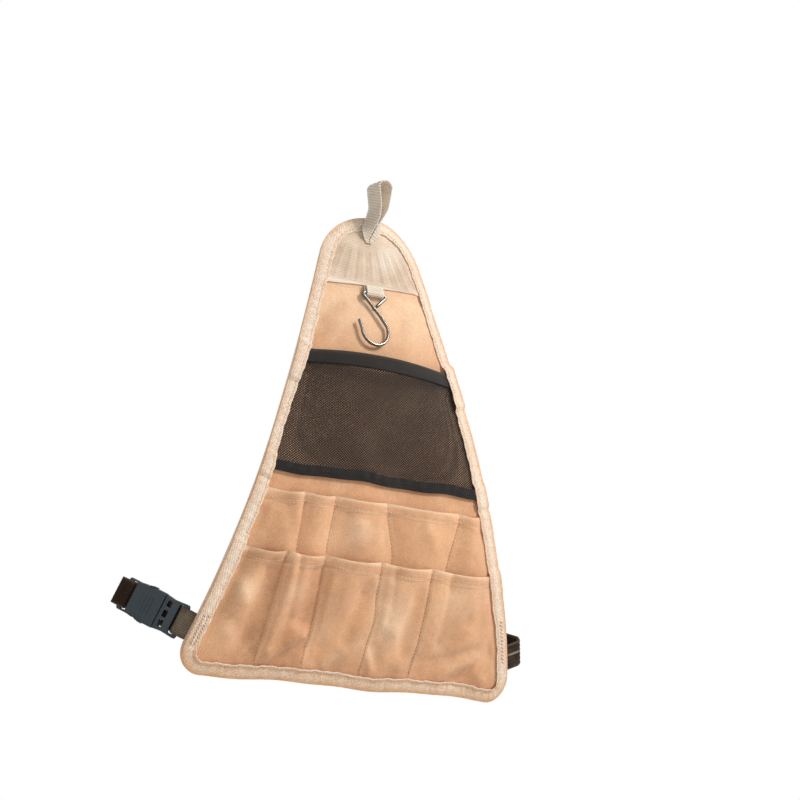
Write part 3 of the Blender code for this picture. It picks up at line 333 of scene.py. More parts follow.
def make_tone_group():
    """Cloth colour: soft patches, specks and threads; the pale colour paints wear and highlights, the deep
    colour paints shade and soil.
    """
    group, given, result = new_group(
        "cloth tone",
        (("Flat", VECTOR), ("Colour", COLOUR), ("Deep", COLOUR), ("Pale", COLOUR), ("Thread", FLOAT),
         ("Wear_and_highlight", FLOAT), ("Shade_and_soil", FLOAT), ("Patches", FLOAT), ("Specks", FLOAT)),
        (("Colour", COLOUR), ("Rough", FLOAT)))
    flat = given["Flat"]
    broad = noise(flat, 22.0, 3.0, 0.55, 0.4)
    middle = noise(flat, 95.0, 3.0, 0.6)
    fine = noise(flat, 1100.0, 2.0, 0.7)
    cloud = noise(flat, 31.0)
    colour = given["Colour"]
    # The deep patches and pale clouds are random tone. The pale mix for wear also paints highlights, and the
    # deep mix for soil also paints shade.
    for share, other in (((broad + middle * 0.5).spread(0.55, 0.95) * given["Patches"], "Deep"),
                         (cloud.spread(0.48, 0.72) * (given["Patches"] * 0.35), "Pale"),
                         (given["Wear_and_highlight"] * middle.spread(0.3, 0.7, 0.55, 1.0), "Pale"),
                         (given["Shade_and_soil"] * middle.spread(0.25, 0.75, 0.4, 1.0), "Deep")):
        colour = mix_colour(group, share, colour, given[other])
    speck = fine - 0.5 + (given["Thread"] - 0.5) * 0.45
    light = speck * given["Specks"] + 1.0
    toned = put(group, "ShaderNodeHueSaturation", {"Value": light, "Color": colour})
    fill(result, {"Colour": toned, "Rough": fine.spread(0.3, 0.7, 0.78, 0.93)})
    return group


WEAVE = make_weave_group()
RIBS = make_rib_group()
TONE = make_tone_group()


def new_material(name):
    made = bpy.data.materials.new(name)
    made.use_nodes = True
    return made, made.node_tree, made.node_tree.nodes["Principled BSDF"]


def bump(shader, height, depth, strength=1.0):
    inputs = {"Height": height, "Distance": depth * MM, "Strength": strength}
    fill(shader, {"Normal": put(height.tree, "ShaderNodeBump", inputs)})


def cloth_material(name, colour, deep, pale, group, pitch, turn, patches, specks, depth, sheen=0.15):
    """Woven cloth: its weave group gives height and thread tone, the tone group gives colour.

    pitch and depth are in mm, turn in degrees.
    """
    made, tree, shader = new_material(name)
    flat = attribute(tree, "flat")
    wove = use_group(tree, group, {"Flat": flat, "Pitch": pitch * MM, "Turn": math.radians(turn)})
    tone = use_group(tree, TONE, {
        "Flat": flat, "Thread": wove["Thread"], "Patches": patches, "Specks": specks,
        "Colour": colour + (1,), "Deep": deep + (1,), "Pale": pale + (1,),
        "Wear_and_highlight": attribute(tree, "wear", "Fac"), "Shade_and_soil": attribute(tree, "soil", "Fac")})
    fill(shader, {"Base Color": tone["Colour"], "Roughness": tone["Rough"], "Sheen Weight": sheen,
                  "Sheen Roughness": 0.6, "Specular IOR Level": 0.25})
    bump(shader, wove["Height"] + noise(flat, 2600.0, 2.0, 0.7) * 0.25, depth)
    return made


# Each cloth's deep colour also serves as its painted shade, and its pale colour as its painted highlight.
CANVAS = cloth_material("canvas", (0.82, 0.455, 0.245), (0.57, 0.28, 0.145), (0.94, 0.67, 0.44),
                        WEAVE, 1.2, 33, 0.60, 0.9, 0.14)
BINDING = cloth_material("binding tape", (0.845, 0.625, 0.44), (0.70, 0.36, 0.165), (0.97, 0.895, 0.81),
                         RIBS, 1.6, 35, 0.50, 1.50, 0.18)
PATCH = cloth_material("ribbed patch", (0.83, 0.665, 0.515), (0.51, 0.35, 0.24), (0.955, 0.85, 0.73),
                       RIBS, PATCH_RIB / MM, 0, 0.55, 0.40, 0.25)
WEBBING = cloth_material("loop webbing", (0.86, 0.745, 0.61), (0.42, 0.325, 0.235), (0.965, 0.905, 0.825),
                         RIBS, 1.5, 0, 0.12, 0.35, 0.12)
NET_CORD = cloth_material("net cord", (0.03, 0.017, 0.01), (0.01, 0.007, 0.005), (0.12, 0.08, 0.055),
                          RIBS, 0.6, 40, 0.5, 0.6, 0.05, sheen=0.12)
NET_TAPE = cloth_material("net tape", (0.021, 0.017, 0.015), (0.008, 0.006, 0.005), (0.085, 0.07, 0.058),
                          RIBS, 0.8, 90, 0.5, 0.9, 0.10, sheen=0.06)
STRAP = cloth_material("strap webbing", (0.024, 0.01, 0.004), (0.008, 0.004, 0.002), (0.275, 0.215, 0.15),
                       RIBS, 1.2, 0, 0.5, 0.9, 0.12, sheen=0.0)
CREAM_THREAD, BROWN_THREAD, BLACK_THREAD = [
    cloth_material(name, colour, deep, pale, RIBS, 0.4, 30, 0.4, 0.5, 0.04)
    for name, colour, deep, pale in (
        ("cream thread", (0.84, 0.64, 0.44), (0.64, 0.43, 0.27), (0.93, 0.84, 0.70)),
        ("brown thread", (0.52, 0.25, 0.11), (0.33, 0.14, 0.06), (0.66, 0.40, 0.23)),
        ("black thread", (0.03, 0.027, 0.025), (0.012, 0.011, 0.01), (0.11, 0.10, 0.09)))]


def make_plastic():
    """Moulded buckle plastic: satin skin, fine grain, dust in patches and small scuffs."""
    made, tree, shader = new_material("moulded plastic")
    place = own_place(tree)
    cloud = noise(place, 90.0, 4.0, 0.6)
    grain = noise(place, 2200.0, 2.0, 0.6)
    stretched = put(tree, "ShaderNodeMapping", {"Vector": place, "Rotation": (0.3, 0.8, 0.4),
                                                "Scale": (3000.0, 220.0, 220.0)})
    scuff = noise(stretched, 1.0).spread(0.66, 0.78)
    dust = cloud.spread(0.5, 0.75) * 0.22
    colour = mix_colour(tree, dust, (0.012, 0.025, 0.033, 1), (0.050, 0.072, 0.083, 1))
    colour = mix_colour(tree, scuff * 0.4, colour, (0.13, 0.15, 0.16, 1))
    fill(shader, {"Base Color": colour, "Roughness": cloud.spread(0.3, 0.7, 0.24, 0.40) + scuff * 0.15})
    bump(shader, grain + scuff * -0.6, 0.04)
    return made


def make_steel():
    """Bright drawn wire: fine lines along it, faint marks and a brown tinge in patches."""
    made, tree, shader = new_material("bright wire")
    drawn = put(tree, "ShaderNodeMapping", {"Vector": attribute(tree, "flat"), "Scale": (1500.0, 25.0, 1.0)})
    line = noise(drawn, 1.0)
    tinge = noise(own_place(tree), 120.0, 3.0, 0.6).spread(0.52, 0.8, 0.0, 0.5)
    fill(shader, {"Base Color": mix_colour(tree, tinge, (0.16, 0.145, 0.13, 1), (0.09, 0.07, 0.055, 1)),
                  "Metallic": 1.0, "Roughness": line.spread(0.3, 0.7, 0.12, 0.24) + tinge * 0.2})
    bump(shader, line, 0.02, 0.5)
    return made


PLASTIC = make_plastic()
STEEL = make_steel()


# The flat pattern and the hanging shape

def smooth(x):
    x = np.clip(x, 0.0, 1.0)
    return x * x * (3 - 2 * x)


def bell(x, width):
    return np.exp(-(x / width) ** 2)


def arch(x):
    return np.sin(math.pi * np.clip(x, 0.0, 1.0))


def waves(run, *parts):
    """A sum of sine waves, each given by its reach in mm, its phase and its height in mm."""
    return sum(np.sin(run / (reach * MM) + phase) * height for reach, phase, height in parts) * MM


def side_line(v):
    tangent_u = DOME_RADIUS * math.cos(SIDE_ANGLE)
    tangent_v = DOME_RADIUS * (1 - math.sin(SIDE_ANGLE))
    return tangent_u + SIDE_SLOPE * (v - tangent_v)


CORNER_U = side_line(CORNER_V) - CORNER_RADIUS / math.cos(SIDE_ANGLE)


def half_width(v, inset=0.0):
    v = np.asarray(v, float)
    dome = DOME_RADIUS - inset
    corner = CORNER_RADIUS - inset
    wide = side_line(v) - inset / math.cos(SIDE_ANGLE)
    round_top = np.sqrt(np.maximum(0.0, dome ** 2 - (DOME_RADIUS - v) ** 2))
    round_foot = CORNER_U + np.sqrt(np.maximum(0.0, corner ** 2 - (v - CORNER_V) ** 2))
    wide = np.where(v < DOME_RADIUS - dome * math.sin(SIDE_ANGLE), round_top, wide)
    return np.where(v > CORNER_V - corner * math.sin(SIDE_ANGLE), round_foot, wide)


def surface(u, v):
    """Points of the panel's front face and its unit normals to the front."""
    u = np.asarray(u, float)
    v = np.asarray(v, float)
    gain = BELLY * 1.5 * math.sqrt(3)
    t = v / BAG_HEIGHT
    reach = side_line(v)
    bow = SIDE_BOW * (u / reach) ** 2
    points = np.stack([u, LOOP_STAND_OFF - gain * (t - t ** 3) + bow, -LOOP_RISE - v], -1)
    slope_u = 2 * SIDE_BOW * u / reach ** 2
    slope_v = -gain * (1 - 3 * t * t) / BAG_HEIGHT - 2 * bow * SIDE_SLOPE / reach
    normals = np.stack([slope_u, -np.ones_like(u), -slope_v], -1)
    return points, unit(normals)


def folds(u, v, rows, gain=1.0):
    """Soft folds along lines, each (start, end, width, rise) in mm and fading at both ends."""
    height = np.zeros_like(u)
    for start, end, width, rise in rows:
        start = np.array(start) * MM
        along = np.array(end) * MM - start
        length = np.hypot(*along)
        off_u = u - start[0]
        off_v = v - start[1]
        t = (off_u * along[0] + off_v * along[1]) / length ** 2
        away = (off_u * along[1] - off_v * along[0]) / length
        ends = smooth((t + 0.18) / 0.3) * smooth((1.18 - t) / 0.3)
        height = height + rise * gain * MM * bell(away, width * MM) * ends
    return height


SHARED_FOLDS = (
    ((-107, 340), (-117, 414), 12, -6.4),
    ((-90, 342), (-99, 412), 6, 2.2),
    ((-65, 340), (-70, 390), 10, -6.0),
    ((-47, 344), (-53, 404), 6, 2.2),
    ((-6, 354), (-46, 414), 11, -5.6),
    ((10, 366), (-20, 416), 9, 3.2),
    ((46, 352), (42, 410), 11, -4.2),
    ((63, 350), (62, 404), 7, 1.6),
    ((112, 366), (84, 398), 8, -3.0),
    ((150, 392), (112, 426), 8, -3.4),
    ((132, 414), (146, 424), 6, 2.0),
)


def rumple(u, v):
    """Slow waves that every layer shares; still at the dome, the hook and the straps."""
    slow = (np.sin(u / (31 * MM) + v / (64 * MM) + 0.6) * 0.9
            + np.sin(u / (17 * MM) - v / (46 * MM) + 2.1) * 0.45
            + np.sin(v / (27 * MM) + u / (90 * MM)) * 0.4)
    calm = smooth((v - 110 * MM) / (90 * MM))
    for side in (-1, 1):
        away = np.hypot(u - side * side_line(STRAP_DOWN), v - STRAP_DOWN)
        calm = calm * smooth((away - 30 * MM) / (40 * MM))
    inside = smooth((half_width(v) - BINDING_WIDTH - np.abs(u)) / (8 * MM))
    return slow * calm * MM + folds(u, v, SHARED_FOLDS) * inside


def worn(u, v, n):
    """Points of the hanging shape from places on the flat pattern and heights over it."""
    u, v, n = np.broadcast_arrays(u, v, n)
    foot = waves(u, (24, 0.9, 0.9), (11, -0.4, 0.45)) * smooth((v - 405 * MM) / (25 * MM))
    points, normals = surface(u, v + foot)
    return points + normals * (n + rumple(u, v))[..., None]


def stack(v):
    """Height of the layers under the binding's front leaf."""
    height = np.zeros_like(v)
    for start, end, top in STACK:
        near = smooth((v - start + LEAF_DROP + STACK_LEAD + STACK_RAMP) / STACK_RAMP)
        far = smooth((end - v + STACK_LEAD + STACK_RAMP) / STACK_RAMP)
        height = np.maximum(height, top * np.minimum(near, far))
    return height


# Lines and grids of points

def unit(vectors):
    return vectors / np.linalg.norm(vectors, axis=-1, keepdims=True)


def run_along(points):
    """Length along a row of points, from 0 at its start."""
    return np.concatenate([[0], np.cumsum(np.linalg.norm(np.diff(points, axis=0), axis=1))])


def sample(values, run, at):
    """Rows of values at other lengths of their run."""
    return np.stack([np.interp(at, run, column) for column in values.T], -1)


def spline(values, count):
    """Points along a smooth curve through rows of numbers, evenly spread."""
    values = np.asarray(values, float)
    ends = np.concatenate([2 * values[:1] - values[1:2], values, 2 * values[-1:] - values[-2:-1]])
    fine = []
    for i in range(len(values) - 1):
        p0, p1, p2, p3 = ends[i:i + 4]
        for t in np.linspace(0, 1, 12, endpoint=False):
            fine.append(0.5 * (2 * p1 + (p2 - p0) * t + (2 * p0 - 5 * p1 + 4 * p2 - p3) * t * t
                               + (3 * p1 - p0 - 3 * p2 + p3) * t ** 3))
    fine = np.array(fine + [values[-1]])
    run = run_along(fine[:, :3])
    at = np.linspace(0, run[-1], count)
    return sample(fine, run, at), at


def rows_between(marks, step):
    rows = [marks[0]]
    for low, high in zip(marks, marks[1:]):
        count = max(1, round((high - low) / step))
        rows += list(np.linspace(low, high, count + 1)[1:])
    return np.array(rows)


def flat_place(u, v):
    return np.stack([u, v, np.zeros_like(u)], -1)


def dome_rows(degrees):
    """v of rows on the dome, by angle from its top."""
    return DOME_RADIUS - (DOME_RADIUS - EDGE_INSET) * np.cos(np.radians(degrees))


def filled(rows, columns):
    """Grids of u and v: rows of points that fill the bag's width."""
    u = np.linspace(-1, 1, columns)[None] * half_width(rows, EDGE_INSET)[:, None]
    return u, np.repeat(rows[:, None], columns, 1)


def outline_area(start, end):
    """Flat area of the bag between two heights."""
    v = np.linspace(start, end, 600)
    return float(np.trapz(2 * half_width(v, EDGE_INSET), v))


def there_and_back(rows):
    return np.concatenate([rows, rows[::-1]])


# Meshes

def mesh_object(name, points, faces, material, body="bag", flat=None, wear=None, soil=None):
    """An object from points and faces with point attributes; it rides on a body."""
    points = points.reshape(-1, 3)
    mesh = bpy.data.meshes.new(name)
    mesh.vertices.add(len(points))
    mesh.vertices.foreach_set("co", points.ravel())
    mesh.loops.add(faces.size)
    mesh.loops.foreach_set("vertex_index", faces.ravel())
    mesh.polygons.add(len(faces))
    mesh.polygons.foreach_set("loop_start", np.arange(len(faces)) * faces.shape[1])
    mesh.update(calc_edges=True)
    mesh.validate()
    place = mesh.attributes.new("flat", "FLOAT_VECTOR", "POINT")
    place.data.foreach_set("vector", (points if flat is None else flat).ravel())
    for key, given in (("wear", wear), ("soil", soil)):
        tone = mesh.attributes.new(key, "FLOAT", "POINT")
        tone.data.foreach_set("value", np.zeros(len(points)) if given is None else given.ravel())
    mesh.shade_smooth()
    item = bpy.data.objects.new(name, mesh)
    bpy.context.scene.collection.objects.link(item)
    item.data.materials.append(material)
    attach(item, body)
    return item


def lattice_faces(around, along, closed):
    """Quads of a tube: loops of points around, repeated along it; open ends are zipped shut."""
    i, j = np.meshgrid(np.arange(around), np.arange(along if closed else along - 1), indexing="ij")
    k = (i + 1) % around
    m = (j + 1) % along
    faces = np.stack([i * along + j, k * along + j, k * along + m, i * along + m], -1).reshape(-1, 4)
    if closed:
        return faces
    half = np.arange(around // 2 - 1)
    far = around - 1 - half
    caps = []
    for end, flip in ((0, False), (along - 1, True)):
        cap = np.stack([half * along + end, far * along + end, (far - 1) * along + end,
                        (half + 1) * along + end], -1)
        caps.append(cap[:, ::-1] if flip else cap)
    return np.concatenate([faces] + caps)


def facing_out(points, faces):
    """The faces, turned round where they face into their solid."""
    a, b, c = (points[faces[:, k]] for k in range(3))
    volume = np.einsum("ij,ij->i", a - points.mean(0), np.cross(b - a, c - a)).sum()
    return faces[:, ::-1] if volume < 0 else faces


def lattice(name, points, material, body="bag", closed=False, **tones):
    """A solid from points of shape (around, along, 3)."""
    faces = lattice_faces(*points.shape[:2], closed)
    points = points.reshape(-1, 3)
    return mesh_object(name, points, facing_out(points, faces), material, body, **tones)


def tube(centre, side, up, around, wide, high):
    """Points round a line, as (around, along, 3)."""
    ring = np.linspace(0, 2 * math.pi, around, endpoint=False)[:, None]
    return centre + side * (np.cos(ring) * wide)[..., None] + up * (np.sin(ring) * high)[..., None]


def joined_tubes(name, tubes, material):
    """One object from tubes, each given as its points and their flat places."""
    faces = []
    count = 0
    for points, _ in tubes:
        around, along, _ = points.shape
        faces.append(facing_out(points.reshape(-1, 3), lattice_faces(around, along, False)) + count)
        count += around * along
    points, flat = (np.concatenate([given[k].reshape(-1, 3) for given in tubes]) for k in (0, 1))
    return mesh_object(name, points, np.concatenate(faces), material, flat=flat)


RIM = np.radians([15.0, 50.0])


def cloth(name, u, v, back, front, material, **tones):
    """A closed sheet from grids of u, v, back and front heights, with rounded mouth and foot.

    The paler tone (wear and painted highlights) and the deeper tone (painted shade and soil) are functions of
    u and v.
    """
    middle = (back + front) / 2
    half = (front - back) / 2
    down = range(len(u))

    def rim(row, angles, way):
        round_v = [v[row] + way * half[row] * math.cos(angle) for angle in angles]
        round_n = [middle[row] + half[row] * math.sin(angle) for angle in angles]
        return [(u[row], *place) for place in zip(round_v, round_n)]

    rings = rim(0, RIM, -1) + [(u[i], v[i], front[i]) for i in down]
    rings += rim(-1, (RIM[1], RIM[0], -RIM[0], -RIM[1]), 1)
    rings += [(u[i], v[i], back[i]) for i in reversed(down)] + rim(0, -RIM[::-1], -1)
    all_u, all_v, all_n = np.array(rings).transpose(1, 0, 2)
    tones = {key: tone(all_u, all_v) for key, tone in tones.items()}
    return lattice(name, worn(all_u, all_v, all_n), material, flat=flat_place(all_u, all_v), **tones)


# Back panel

DOME_STROKES = (
    ((-34, 90), (-62, 113), 6, 0.55),
    ((-46, 112), (-72, 134), 6, 0.6),
    ((-26, 112), (-44, 128), 5, 0.3),
    ((32, 96), (26, 116), 6, 0.3),
)
HEM_WIDTH = 2 * float(half_width(CORNER_V, EDGE_INSET)) + 2 * MM
HEM_V = BAG_HEIGHT - EDGE_INSET


def make_back_panel():
    arc = dome_rows(np.arange(6, 72, 3.0))
    u, v = filled(np.concatenate([arc, rows_between([arc[-1] + 2 * MM, CORNER_V, HEM_V], 3 * MM)]), 81)
    seams = sewn_dimples(u, v)
    pull = tab_pull(u, v)
    front = np.minimum(pull - seams, GAP * 0.3)
    back = pull + seams * 0.6 - PANEL_THICKNESS

    def soil(uu, vv):
        # Painted shade: a band under the net's foot and a line under the patch's edge.
        tone = 0.5 * bell(vv - NET_FOOT - 2 * MM, 5 * MM) + 0.35 * bell(vv - PATCH_DEPTH - 2 * MM, 3 * MM)
        return tone + folds(uu, vv, DOME_STROKES) / MM

    def wear(uu, vv):
        # Painted light: the dome is painted paler towards the top.
        return 0.8 * smooth((150 * MM - vv) / (60 * MM))

    item = cloth("back_panel_cloth", u, v, back, front, CANVAS, wear=wear, soil=soil)
    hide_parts("back_panel")
    outline_area(arc[0], HEM_V)


def tab_pull(u, v):
    """Faint folds that the loop and the tab pull into the dome."""
    fan = np.arctan2(u + HOOK_ASIDE, v - 66 * MM)
    away = np.hypot(u + HOOK_ASIDE, v - 66 * MM)
    strength = bell(away - 34 * MM, 20 * MM) * smooth((v - 72 * MM) / (8 * MM))
    return -0.25 * MM * (1 + np.sin(fan * 9 + 1.0)) * strength


def sewn_dimples(u, v):
    """Depth of the lines where a pocket is stitched through to the back panel."""
    depth = bell(v - NET_SEAM, 1.6 * MM)
    for divider in LOWER.dividers:
        depth = np.maximum(depth, bell(u - divider_u(LOWER, divider, v), 1.8 * MM) * (v > UPPER_MOUTH))
    return depth * 0.25 * MM


# Canvas pockets

Row = namedtuple("Row", "mouth dividers settle")
UPPER = Row(UPPER_MOUTH, UPPER_DIVIDERS, ROW_STEP)
LOWER = Row(LOWER_MOUTH, LOWER_DIVIDERS, BAG_HEIGHT - UPPER_MOUTH)
SEAM_INSET = BINDING_WIDTH + 1.5 * MM
HEM_LINE = HEM_DEPTH * 0.72
FOLD_GAIN = 1.9
FIRST_POCKET_LEAN = 2.2
LOWER_LEANS = np.array([0.92, 0.66, 0.70, 0.92, 0.74])


def divider_u(row, divider, v):
    """A divider's line, which settles from its place at the mouth to its place at the foot."""
    mouth_u, low_u = divider
    return mouth_u + (low_u - mouth_u) * smooth((v - UPPER_MOUTH) / row.settle)


def compartments(row, v):
    seam = half_width(v, SEAM_INSET)
    return [-seam] + [divider_u(row, divider, v) for divider in row.dividers] + [seam]


def fall(v, mouth):
    foot = BAG_HEIGHT - BINDING_WIDTH - 2 * MM
    return np.maximum(0.0, 1 - np.maximum(0.0, (v - mouth) / (foot - mouth)) ** 1.3)


def share_across(row, u, v):
    """How far across its compartment each point lies, and the compartment's width."""
    edges = compartments(row, v)
    share = np.zeros_like(u)
    width = np.full_like(u, FULL_WIDTH)
    for low, high in zip(edges, edges[1:]):
        inside = (u >= low) & (u <= high)
        share = np.where(inside, (u - low) / (high - low), share)
        width = np.where(inside, high - low, width)
    return share, width


UPPER_FOLDS = (
    ((-112, 290), (-122, 322), 7, 1.0),
    ((-98, 285), (-90, 325), 5, -0.9),
    ((-36, 288), (-44, 322), 6, -0.8),
    ((-22, 296), (-24, 318), 8, 1.2),
    ((2, 284), (10, 322), 6, -0.7),
    ((45, 290), (70, 322), 7, 0.9),
    ((70, 285), (62, 325), 5, -0.8),
    ((104, 288), (96, 325), 5, 0.8),
)
LOWER_FOLDS = (
    ((-139, 359), (-129, 379), 9, 2.0),
    ((-126, 424), (-106, 402), 4, 1.4),
    ((-115, 425), (-102, 411), 4.5, -1.8),
    ((-108, 338), (-122, 395), 6, -1.3),
    ((-140, 385), (-122, 412), 6, -0.8),
    ((-95, 420), (-66, 396), 4.5, 3.0),
    ((-86, 425), (-61, 405), 5.5, -2.6),
    ((-72, 340), (-82, 385), 7, 0.7),
    ((-30, 345), (-44, 395), 9, 0.9),
    ((-10, 348), (-24, 418), 7, -1.5),
    ((-38, 424), (-20, 406), 5, 1.1),
    ((20, 345), (12, 385), 9, 1.5),
    ((-78, 384), (-92, 418), 5, -1.4),
    ((-64, 396), (-76, 424), 4, 1.3),
    ((28, 384), (44, 420), 7, 1.2),
    ((-128, 424), (-116, 400), 5, -1.2),
    ((10, 400), (24, 418), 4, -1.3),
    ((2, 408), (16, 424), 4, 1.2),
    ((50, 345), (34, 410), 8, -1.2),
    ((44, 424), (56, 396), 5, 0.9),
    ((80, 350), (70, 395), 9, 1.0),
    ((128, 394), (66, 418), 6, -1.4),
    ((136, 402), (90, 424), 5, 1.3),
    ((118, 345), (128, 385), 8, -0.9),
)
# Painted highlights on the pockets: u, v, size in mm and share.
HIGHLIGHT_SPOTS = (
    (-129, 364, 10, 1.00),
    (-138, 400, 9, 0.20),
    (34, 388, 17, 0.45),
    (16, 360, 19, 0.50),
    (-26, 305, 15, 0.55),
    (88, 352, 17, 0.40),
    (10, 407, 7, 0.45),
    (-28, 416, 8, 0.40),
    (-84, 360, 9, 0.30),
    (18, 381, 13, 0.55),
)
# Painted shade on the pockets: u, v, size in mm and share.
SHADE_SPOTS = (
    (-27, 350, 12, 0.55),
    (-74, 408, 10, 0.60),
    (-119, 419, 11, 0.50),
    (-32, 377, 11, 0.60),
    (60, 400, 10, 0.20),
    (133, 334, 12, 0.45),
    (-150, 385, 12, 0.40),
    (-84, 372, 22, 0.28),
    (-50, 366, 22, 0.22),
    (-90, 412, 14, 0.20),
    (-73, 412, 8, 0.70),
    (-122, 390, 10, 0.25),
)


def spots(u, v, places):
    """Soft round places painted lighter or darker: painted highlights and painted shade."""
    tone = np.zeros_like(u)
    for across, down, size, share in places:
        tone = tone + share * bell(np.hypot(u - across * MM, v - down * MM), size * MM)
    return tone


def puckers(row, u, v):
    """Small dimples along the hem's stitches and the divider seams."""
    line = row.mouth + HEM_LINE
    depth = 0.45 * MM * bell(v - line, 1.5 * MM) * (0.7 + 0.3 * np.sin(u / (1.1 * MM)))
    for divider in row.dividers:
        off = u - divider_u(row, divider, v)
        pull = np.sin(v / (1.9 * MM) + np.sign(off) * 0.8) * bell(np.abs(off) - 4 * MM, 3 * MM)
        depth = depth + 0.45 * MM * bell(off, 1.6 * MM) + 0.14 * MM * pull * (v > line)
    return depth


def freedom(row, share, v):
    """How far the cloth is free to fold: not at its seams and not at its mouth."""
    return np.minimum(1.0, 3 * arch(share)) * smooth((v - row.mouth) / (14 * MM))


def upper_back(u, v):
    """Back face of the upper layer: its fullness, its folds while the layer is free, its puckers."""
    share, width = share_across(UPPER, u, v)
    first = u < divider_u(UPPER, UPPER.dividers[0], v)
    full = arch(np.where(first, share ** FIRST_POCKET_LEAN, share)) ** 0.8
    bulge = UPPER_DEPTH * np.sqrt(np.minimum(1.0, width / FULL_WIDTH)) * fall(v, UPPER_MOUTH) * full
    free = freedom(UPPER, share, v) * smooth((LOWER_MOUTH + 4 * MM - v) / (30 * MM))
    raised = bulge + folds(u, v, UPPER_FOLDS, FOLD_GAIN) * free
    return GAP + np.maximum(0.0, raised - puckers(UPPER, u, v))


def lower_back(u, v):
    """Back face of the lower layer, over the upper one; each compartment leans its own way."""
    share, _ = share_across(LOWER, u, v)
    lean = LOWER_LEANS[sum(u >= divider_u(LOWER, divider, v) for divider in LOWER.dividers)]
    bulge = LOWER_DEPTH * fall(v, LOWER_MOUTH) * arch(share ** lean)
    raised = bulge + folds(u, v, LOWER_FOLDS, FOLD_GAIN) * freedom(LOWER, share, v)
    under = upper_back(u, v) + CANVAS_THICKNESS
    return under + np.maximum(raised + LAYER_PLAY - puckers(LOWER, u, v), 0.15 * MM)


def pocket_back(row, u, v):
    return upper_back(u, v) if row is UPPER else lower_back(u, v)


def hem_thickness(row, v):
    hem_end = smooth((v - row.mouth - HEM_DEPTH + 0.6 * MM) / (1.2 * MM))
    return HEM_THICKNESS + (CANVAS_THICKNESS - HEM_THICKNESS) * hem_end


def pocket_front(row, u, v, over=0.0):
    return pocket_back(row, u, v) + hem_thickness(row, v) + over


def mouth_dip(row, u, v):
    """How far the cloth sinks at the mouth, between the dividers."""
    share, _ = share_across(row, u, v)
    return MOUTH_DIP * arch(share) * smooth((row.mouth + 2.2 * HEM_DEPTH - v) / (1.6 * HEM_DEPTH))


def pocket_columns(row, v, step):
    """u of the columns at each row of points; columns run along the dividers."""
    rim = half_width(v, EDGE_INSET)
    edges = np.array([-rim] + compartments(row, v) + [rim])
    widths = np.abs(edges[1:, 0] - edges[:-1, 0])
    columns = []
    for i, width in enumerate(widths):
        count = max(3, int(round(float(width) / step)))
        share = np.arange(count) / count
        if 0 < i < len(widths) - 1:
            share = (1 - np.cos(math.pi * share)) / 2 * 0.35 + share * 0.65
        columns.append(edges[i] + (edges[i + 1] - edges[i]) * share[:, None])
    return np.concatenate(columns + [edges[-1:]]).T


def make_pocket(name, node, row, step):
    mouth = row.mouth
    hem = mouth + HEM_DEPTH
    rows = np.concatenate([rows_between([mouth, mouth + 3 * MM, hem - 2 * MM], 1.5 * MM),
                           hem + np.array([-1, -0.4, 0.4, 1]) * MM,
                           rows_between([hem + 2 * MM, CORNER_V, HEM_V], step)])
    u = pocket_columns(row, rows, step)
    v = np.repeat(rows[:, None], u.shape[1], 1)
    v = v + mouth_dip(row, u, v)
    back = pocket_back(row, u, v)
    roll = 0.35 * MM * bell(rows - mouth - 0.8 * MM, 1.6 * MM)
    front = back + (hem_thickness(row, rows) + roll)[:, None]

    def wear(uu, vv):
        # Painted highlights along the mouth's fold, under the hem's edge, just right of each divider and at
        # the highlight spots.
        tone = 0.85 * bell(vv - mouth - MOUTH_DIP * 0.5, 2.2 * MM) + 0.3 * bell(vv - hem - 1.0 * MM, 1.2 * MM)
        for divider in row.dividers:
            tone = tone + 0.4 * bell(uu - divider_u(row, divider, vv) - 2.6 * MM, 1.4 * MM)
        return np.clip(tone + spots(uu, vv, HIGHLIGHT_SPOTS), 0, 1)

    def soil(uu, vv):
        # Painted shade along the hem's stitch line.
        tone = 0.75 * bell(vv - mouth - HEM_DEPTH * 0.76 - MOUTH_DIP * 0.4, 1.1 * MM)
        # Darker towards the bottom, and painted shade at the shade spots.
        tone = tone + 0.4 * smooth((vv - HEM_V + 34 * MM) / (24 * MM)) + spots(uu, vv, SHADE_SPOTS)
        for divider in row.dividers:
            off = uu - divider_u(row, divider, vv)
            # Painted shade along each divider seam.
            tone = tone + 0.5 * bell(off + 0.6 * MM, 1.2 * MM)
            if row is LOWER and divider[0] < 0:
                # Painted shadow cast to the left of each of the lower row's left dividers.
                tone = tone + 0.55 * bell(off + 4 * MM, 9 * MM) * (off < 0)
        return np.clip(tone, 0, 1)

    item = cloth(name, u, v, back, front, CANVAS, wear=wear, soil=soil)
    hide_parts(node)
    HEM_V - mouth
    outline_area(mouth, HEM_V)


# Net pocket

NET_SEAM = NET_FOOT - 4.5 * MM
CORD_PITCH = 1.8 * MM
CORD_ANGLE = math.radians(38)
CORD_WIDTH = 0.95 * MM
CORD_HEIGHT = 0.4 * MM
CORD_WEAVE = 0.13 * MM
CORD_SIDES = 4


def net_back(u, v):
    """Back face of the net, which hangs full at its mouth and is flat at its foot."""
    seam = half_width(v, SEAM_INSET)
    across = arch((u + seam) / (2 * seam))
    down = (v - NET_TOP) / (NET_HEIGHT - NET_FOOT_BAND)
    fullness = NET_DEPTH * np.maximum(0.0, 1 - np.maximum(0.0, down) ** 1.6) * across
    lift = (NET_SEAT - GAP) * (1 - smooth((v - NET_TOP - NET_TOP_BAND - MM) / NET_TOP_BAND))
    slack = 0.5 * MM * np.sin(u / (15 * MM) + v / (60 * MM)) * across
    slack = slack * smooth((v - NET_TOP - 16 * MM) / (20 * MM)) * smooth((NET_FOOT - 12 * MM - v) / (12 * MM))
    return GAP + lift + fullness + slack


def net_top_wave(u):
    return waves(u, (26, 0.5, 0.5))


def net_foot_wave(u):
    return waves(u, (17, 0.0, 0.8), (7.3, 1.0, 0.4))


